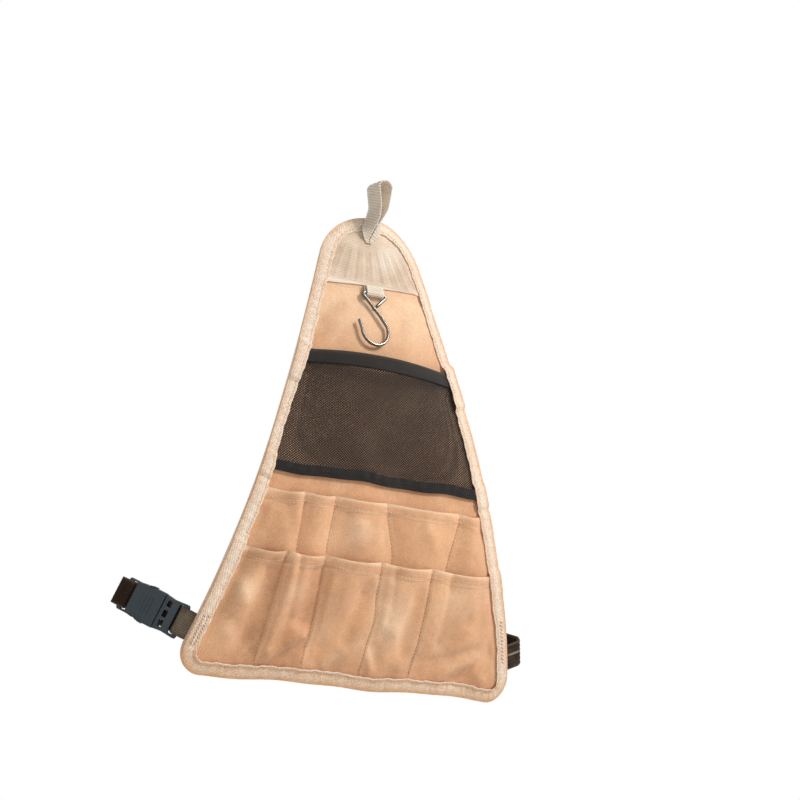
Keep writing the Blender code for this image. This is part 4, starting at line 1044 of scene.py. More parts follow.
def make_net():
    """Two families of flat cords that pass over and under each other."""
    cords = []
    step = CORD_PITCH / math.sin(2 * CORD_ANGLE)
    gap_u = CORD_PITCH / math.sin(CORD_ANGLE)
    ticks = np.arange(0, 125)
    for way in (-1, 1):
        for line in range(-120, 121):
            u = line * gap_u + way * (ticks * step * math.cos(CORD_ANGLE) - 60 * MM)
            v = NET_TOP + 1.6 * MM + ticks * step * math.sin(CORD_ANGLE)
            inside = (v < NET_FOOT - 0.8 * MM) & (np.abs(u) < half_width(v, EDGE_INSET))
            if inside.sum() < 3:
                continue
            u = u[inside]
            v = v[inside]
            over = np.where((ticks[inside] + line) % 2 == 0, CORD_WEAVE, -CORD_WEAVE) * way
            centre = worn(u, v, net_back(u, v) + NET_THICKNESS / 2 + over)
            _, normal = surface(u, v)
            side = unit(np.cross(unit(np.gradient(centre, axis=0)), normal))
            cord = tube(centre, side, normal, CORD_SIDES, CORD_WIDTH / 2, CORD_HEIGHT / 2)
            cords.append((cord, np.repeat(flat_place(u, v)[None], CORD_SIDES, 0)))
    item = joined_tubes("net_pocket", cords, NET_CORD)
    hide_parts("mesh_pocket")
    2 * float(half_width(NET_FOOT, EDGE_INSET))
    outline_area(NET_TOP, NET_FOOT)


def make_net_top_band():
    """Tape folded over the net's mouth, with a soft roll at the fold."""
    front = NET_THICKNESS + GAP
    back = -GAP - TAPE_THICKNESS
    top = front + TAPE_THICKNESS
    low = NET_TOP + NET_TOP_BAND
    fold = NET_TOP + TAPE_THICKNESS
    section = [(low + 0.3 * MM, front + TAPE_THICKNESS * 0.5), (low, top)]
    for share in np.linspace(0.08, 0.92, 7):
        crown = 0.25 * MM * math.sin(math.pi * share) - 0.3 * MM * float(bell(share - 0.14, 0.07))
        section.append((low + (NET_TOP + 2 * TAPE_THICKNESS - low) * share, top + crown))
    for angle in np.radians([75, 45, 15, -15, -45, -75]):
        section.append((NET_TOP + TAPE_THICKNESS * (1.4 - 1.6 * math.cos(angle)),
                        (top + back) / 2 + (top - back) / 2 * math.sin(angle)))
    section += [(low - 4 * MM, back), (low - 2 * MM, back), (low, back)]
    section += [(low, -GAP), (fold + 0.5 * MM, -GAP), (fold, 0.2 * MM), (fold, front - 0.2 * MM),
                (fold + 0.5 * MM, front), (low, front)]
    down, height = np.array(section).T[:, :, None]
    share = np.linspace(-1, 1, 121)
    u = share * half_width(down, EDGE_INSET)
    v = down + net_top_wave(u)
    wave = np.maximum(0, 0.25 * MM * np.sin(u / (9 * MM)) * smooth((0.97 - np.abs(share)) / 0.1))
    # The net tape carries a painted sheen along its fold.
    item = lattice("net_top_tape", worn(u, v, net_back(u, v) + height + wave), NET_TAPE,
                   flat=flat_place(u, v), wear=0.6 * bell(v - NET_TOP - MM, 1.5 * MM))
    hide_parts("mesh_top_band")


def make_net_foot_band():
    """The net's foot is gathered under a strip of tape."""
    columns = 241
    u, v = filled(rows_between([NET_FOOT - NET_FOOT_BAND, NET_FOOT], 0.75 * MM), columns)
    gathers = (np.sin(u / (2.1 * MM) + 1.3 * np.sin(u / (13 * MM))) * 0.35
               + np.sin(u / (4.7 * MM) + 2.0 + v / (3 * MM)) * 0.3)
    edge = smooth((0.985 - np.abs(np.linspace(-1, 1, columns))) / 0.1)
    up = smooth((NET_FOOT - v) / (5 * MM))
    back = net_back(u, v) + NET_THICKNESS + LAYER_PLAY + np.maximum(-0.3, gathers) * 0.9 * MM * edge * up
    front = back + TAPE_THICKNESS + 0.2 * MM * bell(v - NET_FOOT + 4 * MM, 3 * MM)
    item = cloth("net_foot_tape", u, v + net_foot_wave(u) * edge, back, front, NET_TAPE,
                 soil=lambda uu, vv: np.ones_like(uu))
    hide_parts("mesh_bottom_band")


# Edge binding

def outline(step):
    """u, v, inward u, inward v, run and turns round the outline, clockwise from the top.

    The last point is the first one again, and turns is the run as parts of a circle.
    """
    right = []
    for a in np.linspace(0, math.pi / 2 - SIDE_ANGLE, int(DOME_RADIUS * 1.25 / step)):
        right.append((DOME_RADIUS * math.sin(a), DOME_RADIUS * (1 - math.cos(a)), -math.sin(a), math.cos(a)))
    start = right[-1][1]
    end = CORNER_V - CORNER_RADIUS * math.sin(SIDE_ANGLE)
    for v in np.linspace(start, end, int((end - start) / step * 1.05))[1:]:
        right.append((side_line(v), v, -math.cos(SIDE_ANGLE), math.sin(SIDE_ANGLE)))
    for b in np.linspace(-SIDE_ANGLE, math.pi / 2, int(CORNER_RADIUS * 1.9 / step))[1:]:
        right.append((CORNER_U + CORNER_RADIUS * math.cos(b), CORNER_V + CORNER_RADIUS * math.sin(b),
                      -math.cos(b), -math.sin(b)))
    for u in np.linspace(CORNER_U, 0, int(CORNER_U / step))[1:]:
        right.append((u, BAG_HEIGHT, 0.0, -1.0))
    left = [(-u, v, -inward_u, inward_v) for u, v, inward_u, inward_v in right[1:-1]]
    line = np.array(right + left[::-1] + right[:1])
    run = run_along(line[:, :2])
    return np.column_stack([line, run, 2 * math.pi * run / run[-1]]).T


def along_bottom(v):
    return smooth((v - 415 * MM) / (14 * MM))


def binding_front(v, reach, wide, turns):
    """Height of the front leaf's outer face: crowned, gathered, with a lip along the bottom."""
    crown = 0.4 * MM * arch((reach - 1 * MM) / (13 * MM))
    gather = 0.16 * MM * (np.sin(turns * 97 + 1.1 * np.sin(turns * 31)) + np.sin(turns * 151 + 0.7))
    gather = gather + 0.13 * MM * np.sin(turns * 263 + 2.0 * np.sin(turns * 41)) * (1 + along_bottom(v))
    seam = -0.28 * MM * bell(reach - wide + SEAM_FROM_EDGE, 0.9 * MM)
    lip = along_bottom(v) * (1.7 + 0.4 * np.sin(turns * 61)) * MM * bell(reach - wide - 0.2 * MM, 1.4 * MM)
    return crown + gather * arch(reach / BINDING_WIDTH) + seam + lip


def binding_reach(u, v, turns):
    """Width of the front leaf, which its gathers draw in: most beside the net, least at the right."""
    right = smooth(u / (40 * MM)) * smooth((v - 170 * MM) / (80 * MM)) * smooth((400 * MM - v) / (60 * MM))
    beside_net = smooth(-u / (30 * MM)) * bell(v - 205 * MM, 48 * MM)
    waver = np.sin(turns * 53 + 0.4) * 0.3 + np.sin(turns * 119) * 0.22 + np.sin(turns * 17 + 1.9) * 0.35
    return BINDING_WIDTH + (waver - 2.7 * (1 - 0.7 * right) - 3.8 * beside_net) * MM


def make_edge_binding():
    u, v, inward_u, inward_v, run, turns = outline(1.6 * MM)[:, :-1]
    wide = binding_reach(u, v, turns)
    rise = binding_front(v, wide, wide, turns)
    puff = np.maximum(0, 0.2 * MM * np.sin(turns * 83))
    floor = GAP + stack(v)
    back = BACK_OF_BINDING
    under = back + TAPE_THICKNESS
    section = []
    for share in (1.0, 0.965, 0.93, 0.89, 0.85, 0.8, 0.72, 0.6, 0.48, 0.36, 0.24, 0.15):
        section.append((wide * share, floor + TAPE_THICKNESS + binding_front(v, wide * share, wide, turns)))
    for reach, share in ((1.0, 1.0), (0.45, 0.93), (0.12, 0.8), (0.0, 0.55)):
        section.append((reach * MM, floor + TAPE_THICKNESS * share))
    section.append((-0.12 * MM, (floor + under) / 2))
    for reach, share in ((0.0, 0.45), (0.12, 0.2), (0.45, 0.07), (1.0, 0.0)):
        section.append((reach * MM, back + TAPE_THICKNESS * share))
    for share in (0.3, 0.6, 0.8, 0.86, 0.93, 1.0):
        dent = 0.25 * MM * float(bell(share - 0.855, 0.05))
        section.append((wide * share, back + dent - puff * math.sin(math.pi * share)))
    section += [(wide + 0.25 * MM, back + TAPE_THICKNESS / 2), (wide, under), (TAPE_THICKNESS, under),
                (TAPE_THICKNESS, floor), (wide * 0.5, floor), (wide * 0.8, floor),
                (wide * 0.93, floor + rise * 0.5), (wide, floor + rise),
                (wide + 0.25 * MM, floor + TAPE_THICKNESS / 2 + rise)]
    zero = np.zeros_like(run)
    reach, height = np.array([(across + zero, up + zero) for across, up in section]).transpose(1, 0, 2)
    flat = np.stack([np.broadcast_to(run, reach.shape), reach, height], -1)
    low = along_bottom(v)
    rim = np.maximum(smooth(u / (30 * MM)), low)
    # Paler along the middle of the front leaf.
    wear = (0.55 - 0.3 * low) * bell(reach - wide * 0.55, 4.5 * MM)
    # Painted highlight along the leaf's inner edge, strongest on the bottom lip.
    wear = wear + (0.25 + 0.75 * low) * bell(reach - wide, MM)
    # Painted shade along the outer edge, strongest on the right side and along the bottom.
    soil = (0.25 + 0.65 * rim) * bell(reach - 0.6 * MM, 2.3 * MM)
    # A painted shadow line beside the inner edge, strongest beside the bottom lip, and the bottom darker
    # overall.
    soil = soil + (0.2 + 0.6 * low) * bell(reach - wide + 2.5 * MM, 0.9 * MM) + 0.25 * low
    item = lattice("edge_binding_tape", worn(u + inward_u * reach, v + inward_v * reach, height), BINDING,
                   closed=True, flat=flat, wear=wear, soil=soil)
    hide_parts("edge_binding")


# Top patch, loop, tab and hook

# Painted highlight and painted shade spots on the patch: u, v, size in mm and share.
PATCH_HIGHLIGHTS = ((14, 40, 13, 0.85),)
PATCH_SHADE = ((28, 60, 13, 0.35), (-38, 36, 12, 0.35))


def streaks(u, v, phase):
    """Streaks that fan out from the loop's foot."""
    fan = (u + LOOP_FOOT_ASIDE) / (v + LOOP_FOOT_DEPTH)
    return np.sin(fan * 97 + np.sin(v / (30 * MM))) + np.sin(fan * 41 + phase)


def make_top_patch():
    arc = dome_rows(np.linspace(6, 50, 22))
    u, v = filled(np.concatenate([arc, rows_between([arc[-1] + 0.5 * MM, PATCH_DEPTH], 0.45 * MM)]), 91)
    calm = smooth((v - 27 * MM) / (12 * MM)) * smooth((48 * MM - np.abs(u)) / (16 * MM))
    lift = 0.26 * MM * (1 + 0.5 * streaks(u, v, 1.0) * calm)
    back = GAP + lift * smooth((PATCH_DEPTH - v) / (6 * MM)) * smooth((v - 26 * MM) / (10 * MM))
    edge = smooth((v - PATCH_DEPTH + 5 * MM) / (1.5 * MM))
    rib = np.sin(2 * math.pi * v / PATCH_RIB) * 0.5 + 0.5
    ribbed = PATCH_THICKNESS * 0.8 + 0.16 * MM * rib
    front = back + ribbed * (1 - edge) + (PATCH_THICKNESS + 0.3 * MM) * edge
    beside_tab = np.abs(u + HOOK_ASIDE) - TAB_WIDTH / 2 - 1.5 * MM
    slant = 0.06 * np.sign(-u - HOOK_ASIDE) * np.clip(beside_tab, 0, 35 * MM)
    v = v + slant * smooth((v - 52 * MM) / (14 * MM))

    def wear(uu, vv):
        # Painted highlight along the folded bottom edge and at the patch's highlight spot.
        return np.clip(0.9 * bell(vv - PATCH_DEPTH, 2.4 * MM) + spots(uu, vv, PATCH_HIGHLIGHTS), 0, 1)

    def soil(uu, vv):
        # Painted shadow beside the loop's foot, painted shade in streaks along the gathers and at the patch's
        # shade spots.
        beside = bell(vv - LOOP_FOOT_DEPTH + 3 * MM, 9 * MM) * bell(uu + LOOP_FOOT_ASIDE, 10 * MM)
        dark = 0.62 * np.clip(0.5 + 0.35 * streaks(uu, vv, 2.6), 0, 1)
        dark = dark * smooth((vv - 27 * MM) / (10 * MM)) * smooth((PATCH_DEPTH - vv) / (8 * MM))
        return np.clip(0.8 * beside + dark + spots(uu, vv, PATCH_SHADE), 0, 1)

    item = cloth("top_patch_cloth", u, v, back, front, PATCH, wear=wear, soil=soil)
    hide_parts("top_patch")
    2 * float(half_width(PATCH_DEPTH, EDGE_INSET))
    outline_area(EDGE_INSET, PATCH_DEPTH)


# Painted glint on the right pole strap: its place across the webbing and its share along the run.
GLINT_RIDGE = 0.17
GLINT_SHARE = 0.7


def webbing_ribbon(name, stations, thickness, material, count, across, rib, pitch, slant=0.0,
                   lengthwise=False, edge_wear=0.7, painted_light=0.0, painted_glint=0.0):
    """Woven webbing through stations of centre, across, width and normal.

    rib and pitch are the height and spacing of its ribs, which run across at a slant or lengthwise.
    """
    fine, run = spline([(*centre, *side, width, *normal) for centre, side, width, normal in stations], count)
    side = unit(fine[:, 3:6])
    normal = fine[:, 7:10]
    normal = unit(normal - side * (normal * side).sum(1, keepdims=True))
    x = np.linspace(-1, 1, across)[:, None]
    edge = np.abs(x)
    place = x * fine[:, 6] / 2
    if lengthwise:
        wave = np.abs(np.sin(math.pi * place / pitch))
    else:
        wave = 0.5 + 0.5 * np.sin(2 * math.pi * (run + place * slant) / pitch)
    selvedge = thickness * 0.12 * bell(edge - 0.9, 0.06)
    top = thickness / 2 * (1 - 0.55 * edge ** 10) + selvedge + rib * (wave - 0.5)
    offsets = there_and_back(place)
    heights = np.concatenate([top, -top[::-1]])
    points = fine[:, :3] + side * offsets[..., None] + normal * heights[..., None]
    flat = np.stack([offsets, np.broadcast_to(run, offsets.shape), heights], -1)
    # Painted highlights along both edges, plus any painted light given for the whole face.
    wear = edge_wear * bell(edge - 1.0, 0.12) + painted_light * (1 - edge ** 6)
    # Painted glint along one rib, at one place of the run.
    wear = wear + painted_glint * bell(x - GLINT_RIDGE, 0.07) * bell(run / run[-1] - GLINT_SHARE, 0.05)
    # Painted shade in the troughs between the ribs.
    soil = 0.75 * (1 - wave) ** 2 * (1 - edge ** 8)
    return lattice(name, points, material, flat=flat, wear=there_and_back(wear), soil=there_and_back(soil))


LEG_PINCH = 4.6 * MM
LEG_FLARE = ((26, 2.6, 0.0), (23, 4.6, 0.0), (18, 8.2, 0.16), (13, 11.2, 0.36), (7, 14.6, 0.60),
             (1, 18.4, 0.82), (-5, 21.2, 0.95), (-11, 22.0, 1.0))


def loop_leg(hand):
    """Stations of the right (1) or left (-1) leg: flat and narrow at its foot, edge on at the top."""
    seat = PATCH_TOP + GAP + LOOP_THICKNESS / 2
    foot_v = LEG_FLARE[1][0] * MM
    top_v = LEG_FLARE[-1][0] * MM
    foot, _ = surface(0.0, foot_v)
    leg = []
    for v, width, turn in LEG_FLARE:
        v = v * MM
        width = width * MM
        angle = turn * math.pi / 2
        clear = width / 2 * math.cos(angle) + GAP + LOOP_THICKNESS / 2 * math.sin(angle)
        x = hand * max(clear, LEG_PINCH * smooth(turn * 1.3)) - LOOP_FOOT_ASIDE * (1 - turn)
        if turn == 0:
            point, normal = surface(x, v)
            leg.append((point + normal * seat, (hand, 0, 0), width, tuple(normal)))
        else:
            share = (v - top_v) / (foot_v - top_v)
            y = (foot[1] - seat) * share - 1.2 * MM * math.sin(math.pi * share)
            leg.append(((x, y, -LOOP_RISE - v), (math.cos(angle) * hand, math.sin(angle), 0), width,
                        (math.sin(angle) * hand, -math.cos(angle), 0)))
    return leg


def loop_stations():
    """Up the right leg, over the arc and down the left leg."""
    arc_z = -LOOP_BEND_RADIUS + LOOP_THICKNESS / 2
    arc = []
    for a in np.linspace(0, math.pi, 9):
        arc.append(((LOOP_BEND_RADIUS * math.cos(a), 0, arc_z + LOOP_BEND_RADIUS * math.sin(a)), (0, 1, 0),
                    LOOP_WIDTH, (math.cos(a), 0, math.sin(a))))
    return loop_leg(1) + arc + loop_leg(-1)[::-1]


def make_hanging_loop():
    item = webbing_ribbon("hanging_loop_webbing", loop_stations(), LOOP_THICKNESS, WEBBING, 300, 22,
                          0.34 * MM, 2.7 * MM, slant=0.32, edge_wear=1.0)
    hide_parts("hanging_loop")


WIRE_RADIUS = WIRE_DIAMETER / 2
TAB_EYE_RADIUS = WIRE_RADIUS + GAP
WIRE_HEIGHT = GAP + TAB_THICKNESS + TAB_EYE_RADIUS
EYE_TOP_V = PATCH_DEPTH + GAP + TAB_DEPTH - TAB_THICKNESS - TAB_EYE_RADIUS


def hook_axes():
    """Where the hook turns in its tab, the way down along the panel and the way out of it."""
    point, normal = surface(0.0, EYE_TOP_V)
    out = Vector(normal)
    down = out.cross(Vector((1, 0, 0))).normalized()
    if down.z > 0:
        down = -down
    return Vector(point) + out * WIRE_HEIGHT - Vector((HOOK_ASIDE, 0, 0)), down, out


def make_hook_tab():
    """Sewn to the panel, round the hook's eye and back up over itself."""
    mid = TAB_EYE_RADIUS + TAB_THICKNESS / 2
    top = PATCH_DEPTH + GAP
    path = [(top, -mid, 0.0, -1.0), (EYE_TOP_V, -mid, 0.0, -1.0)]
    for a in np.linspace(-math.pi / 2, math.pi / 2, 9)[1:-1]:
        path.append((EYE_TOP_V + mid * math.cos(a), mid * math.sin(a), math.cos(a), math.sin(a)))
    path += [(EYE_TOP_V, mid, 0.0, 1.0), (top + 1.5 * MM, mid * 0.6, 0.3, 1.0),
             (top, -mid + TAB_THICKNESS + GAP, 0.3, 1.0)]
    origin, down, out = hook_axes()
    stations = []
    for v, height, along, lift in path:
        centre = origin + down * (v - EYE_TOP_V) + out * height
        stations.append((centre, (1, 0, 0), TAB_WIDTH, (down * along + out * lift).normalized()))
    item = webbing_ribbon("hook_tab_webbing", stations, TAB_THICKNESS, WEBBING, 60, 24, 0.28 * MM, 1.9 * MM)
    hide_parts("hook_tab")


def arc_points(centre, radius, start, end, steps):
    return [(centre[0] + radius * math.cos(a), centre[1] + radius * math.sin(a))
            for a in np.linspace(start, end, steps + 1)]


def round_corners(points, radius, steps=4):
    path = [Vector(points[0])]
    for before, corner, after in zip(points, points[1:], points[2:]):
        corner = Vector(corner)
        into = (Vector(before) - corner).normalized()
        out = (Vector(after) - corner).normalized()
        half = into.angle(out) / 2
        centre = corner + (into + out).normalized() * (radius / math.sin(half))
        reach = radius / math.tan(half)
        first = corner + into * reach - centre
        sweep = first.angle_signed(corner + out * reach - centre)
        for i in range(steps + 1):
            path.append(centre + Matrix.Rotation(-sweep * i / steps, 2) @ first)
    path.append(Vector(points[-1]))
    return path


def hook_path():
    half = HOOK_EYE_WIDTH / 2 - WIRE_RADIUS
    crossing = Vector((-HOOK_EYE_WIDTH * 0.03, HOOK_EYE_DEPTH))
    shank = (crossing - Vector((-half, 0))).normalized()
    throat_y = HOOK_LENGTH - WIRE_RADIUS - HOOK_THROAT_RADIUS
    throat = Vector((-HOOK_THROAT_RADIUS * 0.14, throat_y))
    side = Vector((throat.x + HOOK_THROAT_RADIUS, throat_y - HOOK_THROAT_RADIUS * 0.35))
    neck = crossing + shank * HOOK_EYE_DEPTH * 0.55
    meet = (Vector((half, 0)) - crossing).normalized()
    end = crossing + meet * (WIRE_DIAMETER + GAP) / math.sin(meet.angle(shank))
    corners = round_corners([end, (half, 0.0), (-half, 0.0), neck], HOOK_BEND_RADIUS, 8)
    bow = round_corners([neck, side, (side.x, throat_y)], HOOK_THROAT_RADIUS * 0.45, 8)[1:-1]
    arc = arc_points(throat, HOOK_THROAT_RADIUS, 0.0, math.pi, 24)
    tip = Vector((throat.x - HOOK_THROAT_RADIUS * 1.18, throat_y - HOOK_THROAT_RADIUS * 0.62))
    return corners + bow + [Vector(point) for point in arc] + [tip]


def make_wire_hook():
    path = np.array([tuple(point) for point in hook_path()])
    path = path[np.concatenate([[True], np.linalg.norm(np.diff(path, axis=0), axis=1) > 1e-6])]
    run = run_along(path)
    at = np.linspace(0, run[-1], int(run[-1] / WIRE_STEP) + 1)
    path = sample(path, run, at)
    origin, down, out = [np.array(axis) for axis in hook_axes()]
    centre = origin + path[:, :1] * np.array([1.0, 0, 0]) + path[:, 1:] * down
    normal = np.broadcast_to(out, centre.shape)
    side = np.cross(normal, unit(np.gradient(centre, axis=0)))
    ends = np.clip(np.minimum(at, at[-1] - at) / WIRE_RADIUS, 0, 1)
    radius = WIRE_RADIUS * np.sqrt(np.clip(1 - (1 - ends) ** 2, 0.02, 1))
    girth = np.linspace(0, 2 * math.pi, WIRE_SIDES, endpoint=False)[:, None] * WIRE_RADIUS
    item = lattice("hook_wire", tube(centre, side, normal, WIRE_SIDES, radius, radius), STEEL, "hook",
                   flat=flat_place(*np.broadcast_arrays(girth, at)))
    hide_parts("wire_hook")


# Side straps

LAYER_ONE = PANEL_THICKNESS + GAP + TAPE_THICKNESS + STRAP_PLAY + WEBBING_THICKNESS / 2
LAYER_TWO = LAYER_ONE + WEBBING_THICKNESS + GAP
LAYER_THREE = LAYER_TWO + WEBBING_THICKNESS + GAP
BAR_OFFSET = FRAME_HEIGHT / 2 + LAYER_PLAY + WEBBING_THICKNESS / 2
TAIL_OFFSET = SOCKET_TAIL_HEIGHT / 2 + LAYER_PLAY + WEBBING_THICKNESS / 2

Side = namedtuple("Side", "label mirror start angle facing pole_distance layers sewn")
LEFT = Side("left", -1, Vector((0.5 * MM, (LAYER_ONE + LAYER_TWO) / 2)), LEFT_ANGLE, 1,
            LEFT_POLE_DISTANCE, (LAYER_ONE, LAYER_TWO, LAYER_THREE),
            Vector((-STRAP_LEAD * 2, LAYER_THREE + 2 * GAP)))
RIGHT = Side("right", 1, Vector((-RIGHT_INSET, (LAYER_TWO + LAYER_THREE) / 2)), RIGHT_ANGLE, -1,
             RIGHT_POLE_DISTANCE, (LAYER_THREE, LAYER_TWO, LAYER_ONE),
             Vector((-STRAP_LEAD / 2, LAYER_ONE)))


def strap_axes():
    """The middle of the strap on the bag's edge, and the axes out, along the edge and back."""
    point, normal = surface(side_line(STRAP_DOWN), STRAP_DOWN)
    step = 1 * MM
    above, _ = surface(side_line(STRAP_DOWN - step), STRAP_DOWN - step)
    along = Vector(above - point).normalized()
    back = -Vector(normal)
    out = along.cross(back).normalized()
    if out.x < 0:
        out = -out
    return Vector(point), out, along, back


def run_point(side, distance, height):
    """A point along a side's run and away from its pole."""
    along = Vector((math.cos(side.angle), math.sin(side.angle)))
    away = Vector((math.sin(side.angle), -math.cos(side.angle))) * side.facing
    return side.start + along * (STRAP_LEAD + distance) + away * height


def fold_round_bar(side, bar_start, bar_end, offset):
    """Webbing's middle line round the frame's bar, from its outer to its pole face."""
    centre = bar_end - offset * 0.3
    turn = [(centre + offset * math.cos(a), offset * math.sin(a))
            for a in np.linspace(math.pi / 2, -math.pi / 2, 7)]
    return [run_point(side, x, z) for x, z in [(bar_start, offset)] + turn + [(bar_start, -offset)]]


def turn_between(flat, high, corner_x):
    """Points of a round turn from a layer on the bag up to a point behind it."""
    corner = Vector((corner_x, flat.y))
    start = corner + (flat - corner).normalized() * STRAP_LEAD * 0.6
    end = corner + (high - corner) * 0.6
    return [start * (1 - t) ** 2 + corner * 2 * t * (1 - t) + end * t ** 2 for t in np.linspace(0.0, 1.0, 5)]


def anchor_path(side):
    """Sewn to the back, out to the buckle, round the frame's bar and back beside itself."""
    lead_layer, tail_layer, _ = side.layers
    sewn = [Vector((-SEWN_LENGTH, lead_layer)), Vector((-SEWN_LENGTH / 2, lead_layer))]
    tail = [Vector((-SEWN_LENGTH / 2, tail_layer)), Vector((-SEWN_LENGTH * 0.75, tail_layer))]
    fold = fold_round_bar(side, 0.0, BAR_LENGTH, BAR_OFFSET)
    if side.facing > 0:
        lead = [Vector((-STRAP_LEAD / 2, lead_layer)), Vector((STRAP_LEAD * 0.2, lead_layer + GAP))]
        back = [Vector((-STRAP_LEAD * 0.35, tail_layer + GAP * 4)), Vector((-STRAP_LEAD, tail_layer + GAP))]
    else:
        lead = turn_between(sewn[-1], fold[0], side.start.x - STRAP_LEAD * 0.7)
        back = turn_between(tail[0], fold[-1], side.start.x + STRAP_LEAD * 0.15)[::-1]
    return sewn + lead + fold + back + tail


def tangent_angle(centre, radius, point, turn):
    """Angle on a circle at which a line from point touches it."""
    away = point - centre
    return math.atan2(away.y, away.x) + turn * math.acos(radius / away.length)


def pole_path(side):
    """From a short tail round the socket's bar, round the pole and back to the bag."""
    offset = TAIL_OFFSET
    middle = SOCKET_BAR_START + BAR_LENGTH / 2
    fold = [(SOCKET_END + WEBBING_THICKNESS, -offset), (middle, -offset)]
    for a in np.linspace(-math.pi / 2, -3 * math.pi / 2, 7):
        fold.append((SOCKET_BAR_START + offset * (0.3 + math.cos(a)), offset * math.sin(a)))
    fold += [(middle, offset), (SOCKET_END, offset), (SOCKET_END + offset * 1.2, offset * 0.6)]
    if side.facing < 0:
        fold += [(SOCKET_END + offset * 1.55, -offset * 0.5), (SOCKET_END + offset * 1.35, -offset * 1.6)]
    fold = [run_point(side, x, z) for x, z in fold]
    centre = run_point(side, side.pole_distance, -(BUCKLE_HEIGHT / 2 + POLE_RADIUS + POLE_PLAY))
    radius = POLE_RADIUS + POLE_PLAY + WEBBING_THICKNESS / 2
    first = tangent_angle(centre, radius, fold[-1], side.facing)
    last = tangent_angle(centre, radius, side.sewn, -side.facing)
    while (last - first) * side.facing < 0:
        last += 2 * math.pi * side.facing
    wrap = [centre + Vector((math.cos(a), math.sin(a))) * radius for a in np.linspace(first, last, 11)]
    layer = side.layers[2]
    end = [side.sewn, Vector((-SEWN_LENGTH * 0.5, layer)), Vector((-SEWN_LENGTH * 0.9, layer))]
    return fold + wrap + end


def strap_station(here, course, side):
    """Centre, across, width and normal at a point of the path; what lies on the bag follows its back."""
    edge, out, along, back = strap_axes()
    if here.x <= 0 and here.y <= LAYER_THREE + 4 * GAP:
        u = side_line(STRAP_DOWN) + here.x * math.cos(SIDE_ANGLE)
        v = STRAP_DOWN - here.x * math.sin(SIDE_ANGLE)
        point, up = surface(u, v)
        centre = Vector(point) - Vector(up) * here.y
        point, above_up = surface(u - MM * math.sin(SIDE_ANGLE), v - MM * math.cos(SIDE_ANGLE))
        across = (Vector(point) - Vector(above_up) * here.y - centre).normalized()
        behind = -Vector(up)
    else:
        centre = edge + out * here.x + back * here.y
        across = along
        behind = back
    normal = out * -course.y + behind * course.x
    flip = Vector((side.mirror, 1, 1))
    return tuple(centre * flip), tuple(across * flip), STRAP_WIDTH, tuple(normal * flip)


def make_strap(name, node, path, side, count):
    stations = []
    for i, here in enumerate(path):
        course = (path[min(len(path) - 1, i + 1)] - path[max(0, i - 1)]).normalized()
        stations.append(strap_station(here, course, side))
    # Painted light: the left anchor webbing is painted paler all over, as lit webbing.
    painted_light = 0.9 if node == "left_anchor_webbing" else 0.0
    # The right pole strap gets a painted glint and broader ribs.
    painted_glint = 2.5 if node == "right_pole_strap" else 0.0
    rib, pitch = (0.50 * MM, 4.2 * MM) if painted_glint else (0.26 * MM, 2.1 * MM)
    item = webbing_ribbon(name, stations, WEBBING_THICKNESS, STRAP, count, 92, rib, pitch, lengthwise=True,
                          edge_wear=0.35, painted_light=painted_light, painted_glint=painted_glint)
    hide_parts(node)


# Stitching

STITCH_RINGS = np.array([0.0, 0.14, 0.5, 0.86, 1.0])
STITCH_RISE = np.array([-0.9, 0.35, 0.8, 0.35, -0.9])
STITCH_GIRTH = np.array([0.35, 0.95, 1.0, 0.95, 0.35])
THREAD_SIDES = 6


def stitches(name, runs, material, radius):
    """Raised threads from runs of (start points, end points, normals)."""
    threads = []
    for start, end, normal in zip(*(np.concatenate([run[k] for run in runs]) for k in range(3))):
        along = unit(end - start)
        side = unit(np.cross(along, normal))
        up = np.cross(side, along)
        middle = start + (end - start) * STITCH_RINGS[:, None] + up * (STITCH_RISE * radius)[:, None]
        thread = tube(middle, side, up, THREAD_SIDES, STITCH_GIRTH * radius, STITCH_GIRTH * radius)
        threads.append((thread, thread))
    item = joined_tubes(name, threads, material)


def line_on_cloth(u, v, n):
    """Points of a line on the cloth, the panel's normals there and the run."""
    u, v, n = np.broadcast_arrays(u, v, n)
    centre = worn(u, v, n)
    return centre, surface(u, v)[1], run_along(centre)


def sew(u, v, n, pitch=3.2 * MM, share=0.74, flip=False):
    """Stitches along a line on the cloth, given by u, v and height."""
    centre, normal, run = line_on_cloth(u, v, n)
    count = int(run[-1] / pitch)
    middle = (np.arange(count) + 0.5) * pitch + (run[-1] - count * pitch) / 2
    half = pitch * share / 2
    up = sample(normal, run, middle)
    return sample(centre, run, middle - half), sample(centre, run, middle + half), -up if flip else up


def zigzag(u, v, n, across, pitch):
    """A bar tack: close stitches that cross a line from side to side."""
    centre, normal, run = line_on_cloth(u, v, n)
    at = np.arange(pitch / 2, run[-1], pitch)
    middle = sample(centre, run, at)
    up = sample(normal, run, at)
    along = unit(np.gradient(middle, axis=0))
    reach = np.cross(up, along) * across / 2 + along * pitch * 0.35
    return middle - reach, middle + reach, up


def line_across(v, inset, count=300):
    """u of a seam across the bag, which ends a little short of its inset edges."""
    return np.linspace(-1, 1, count) * (float(half_width(v, inset)) - MM)


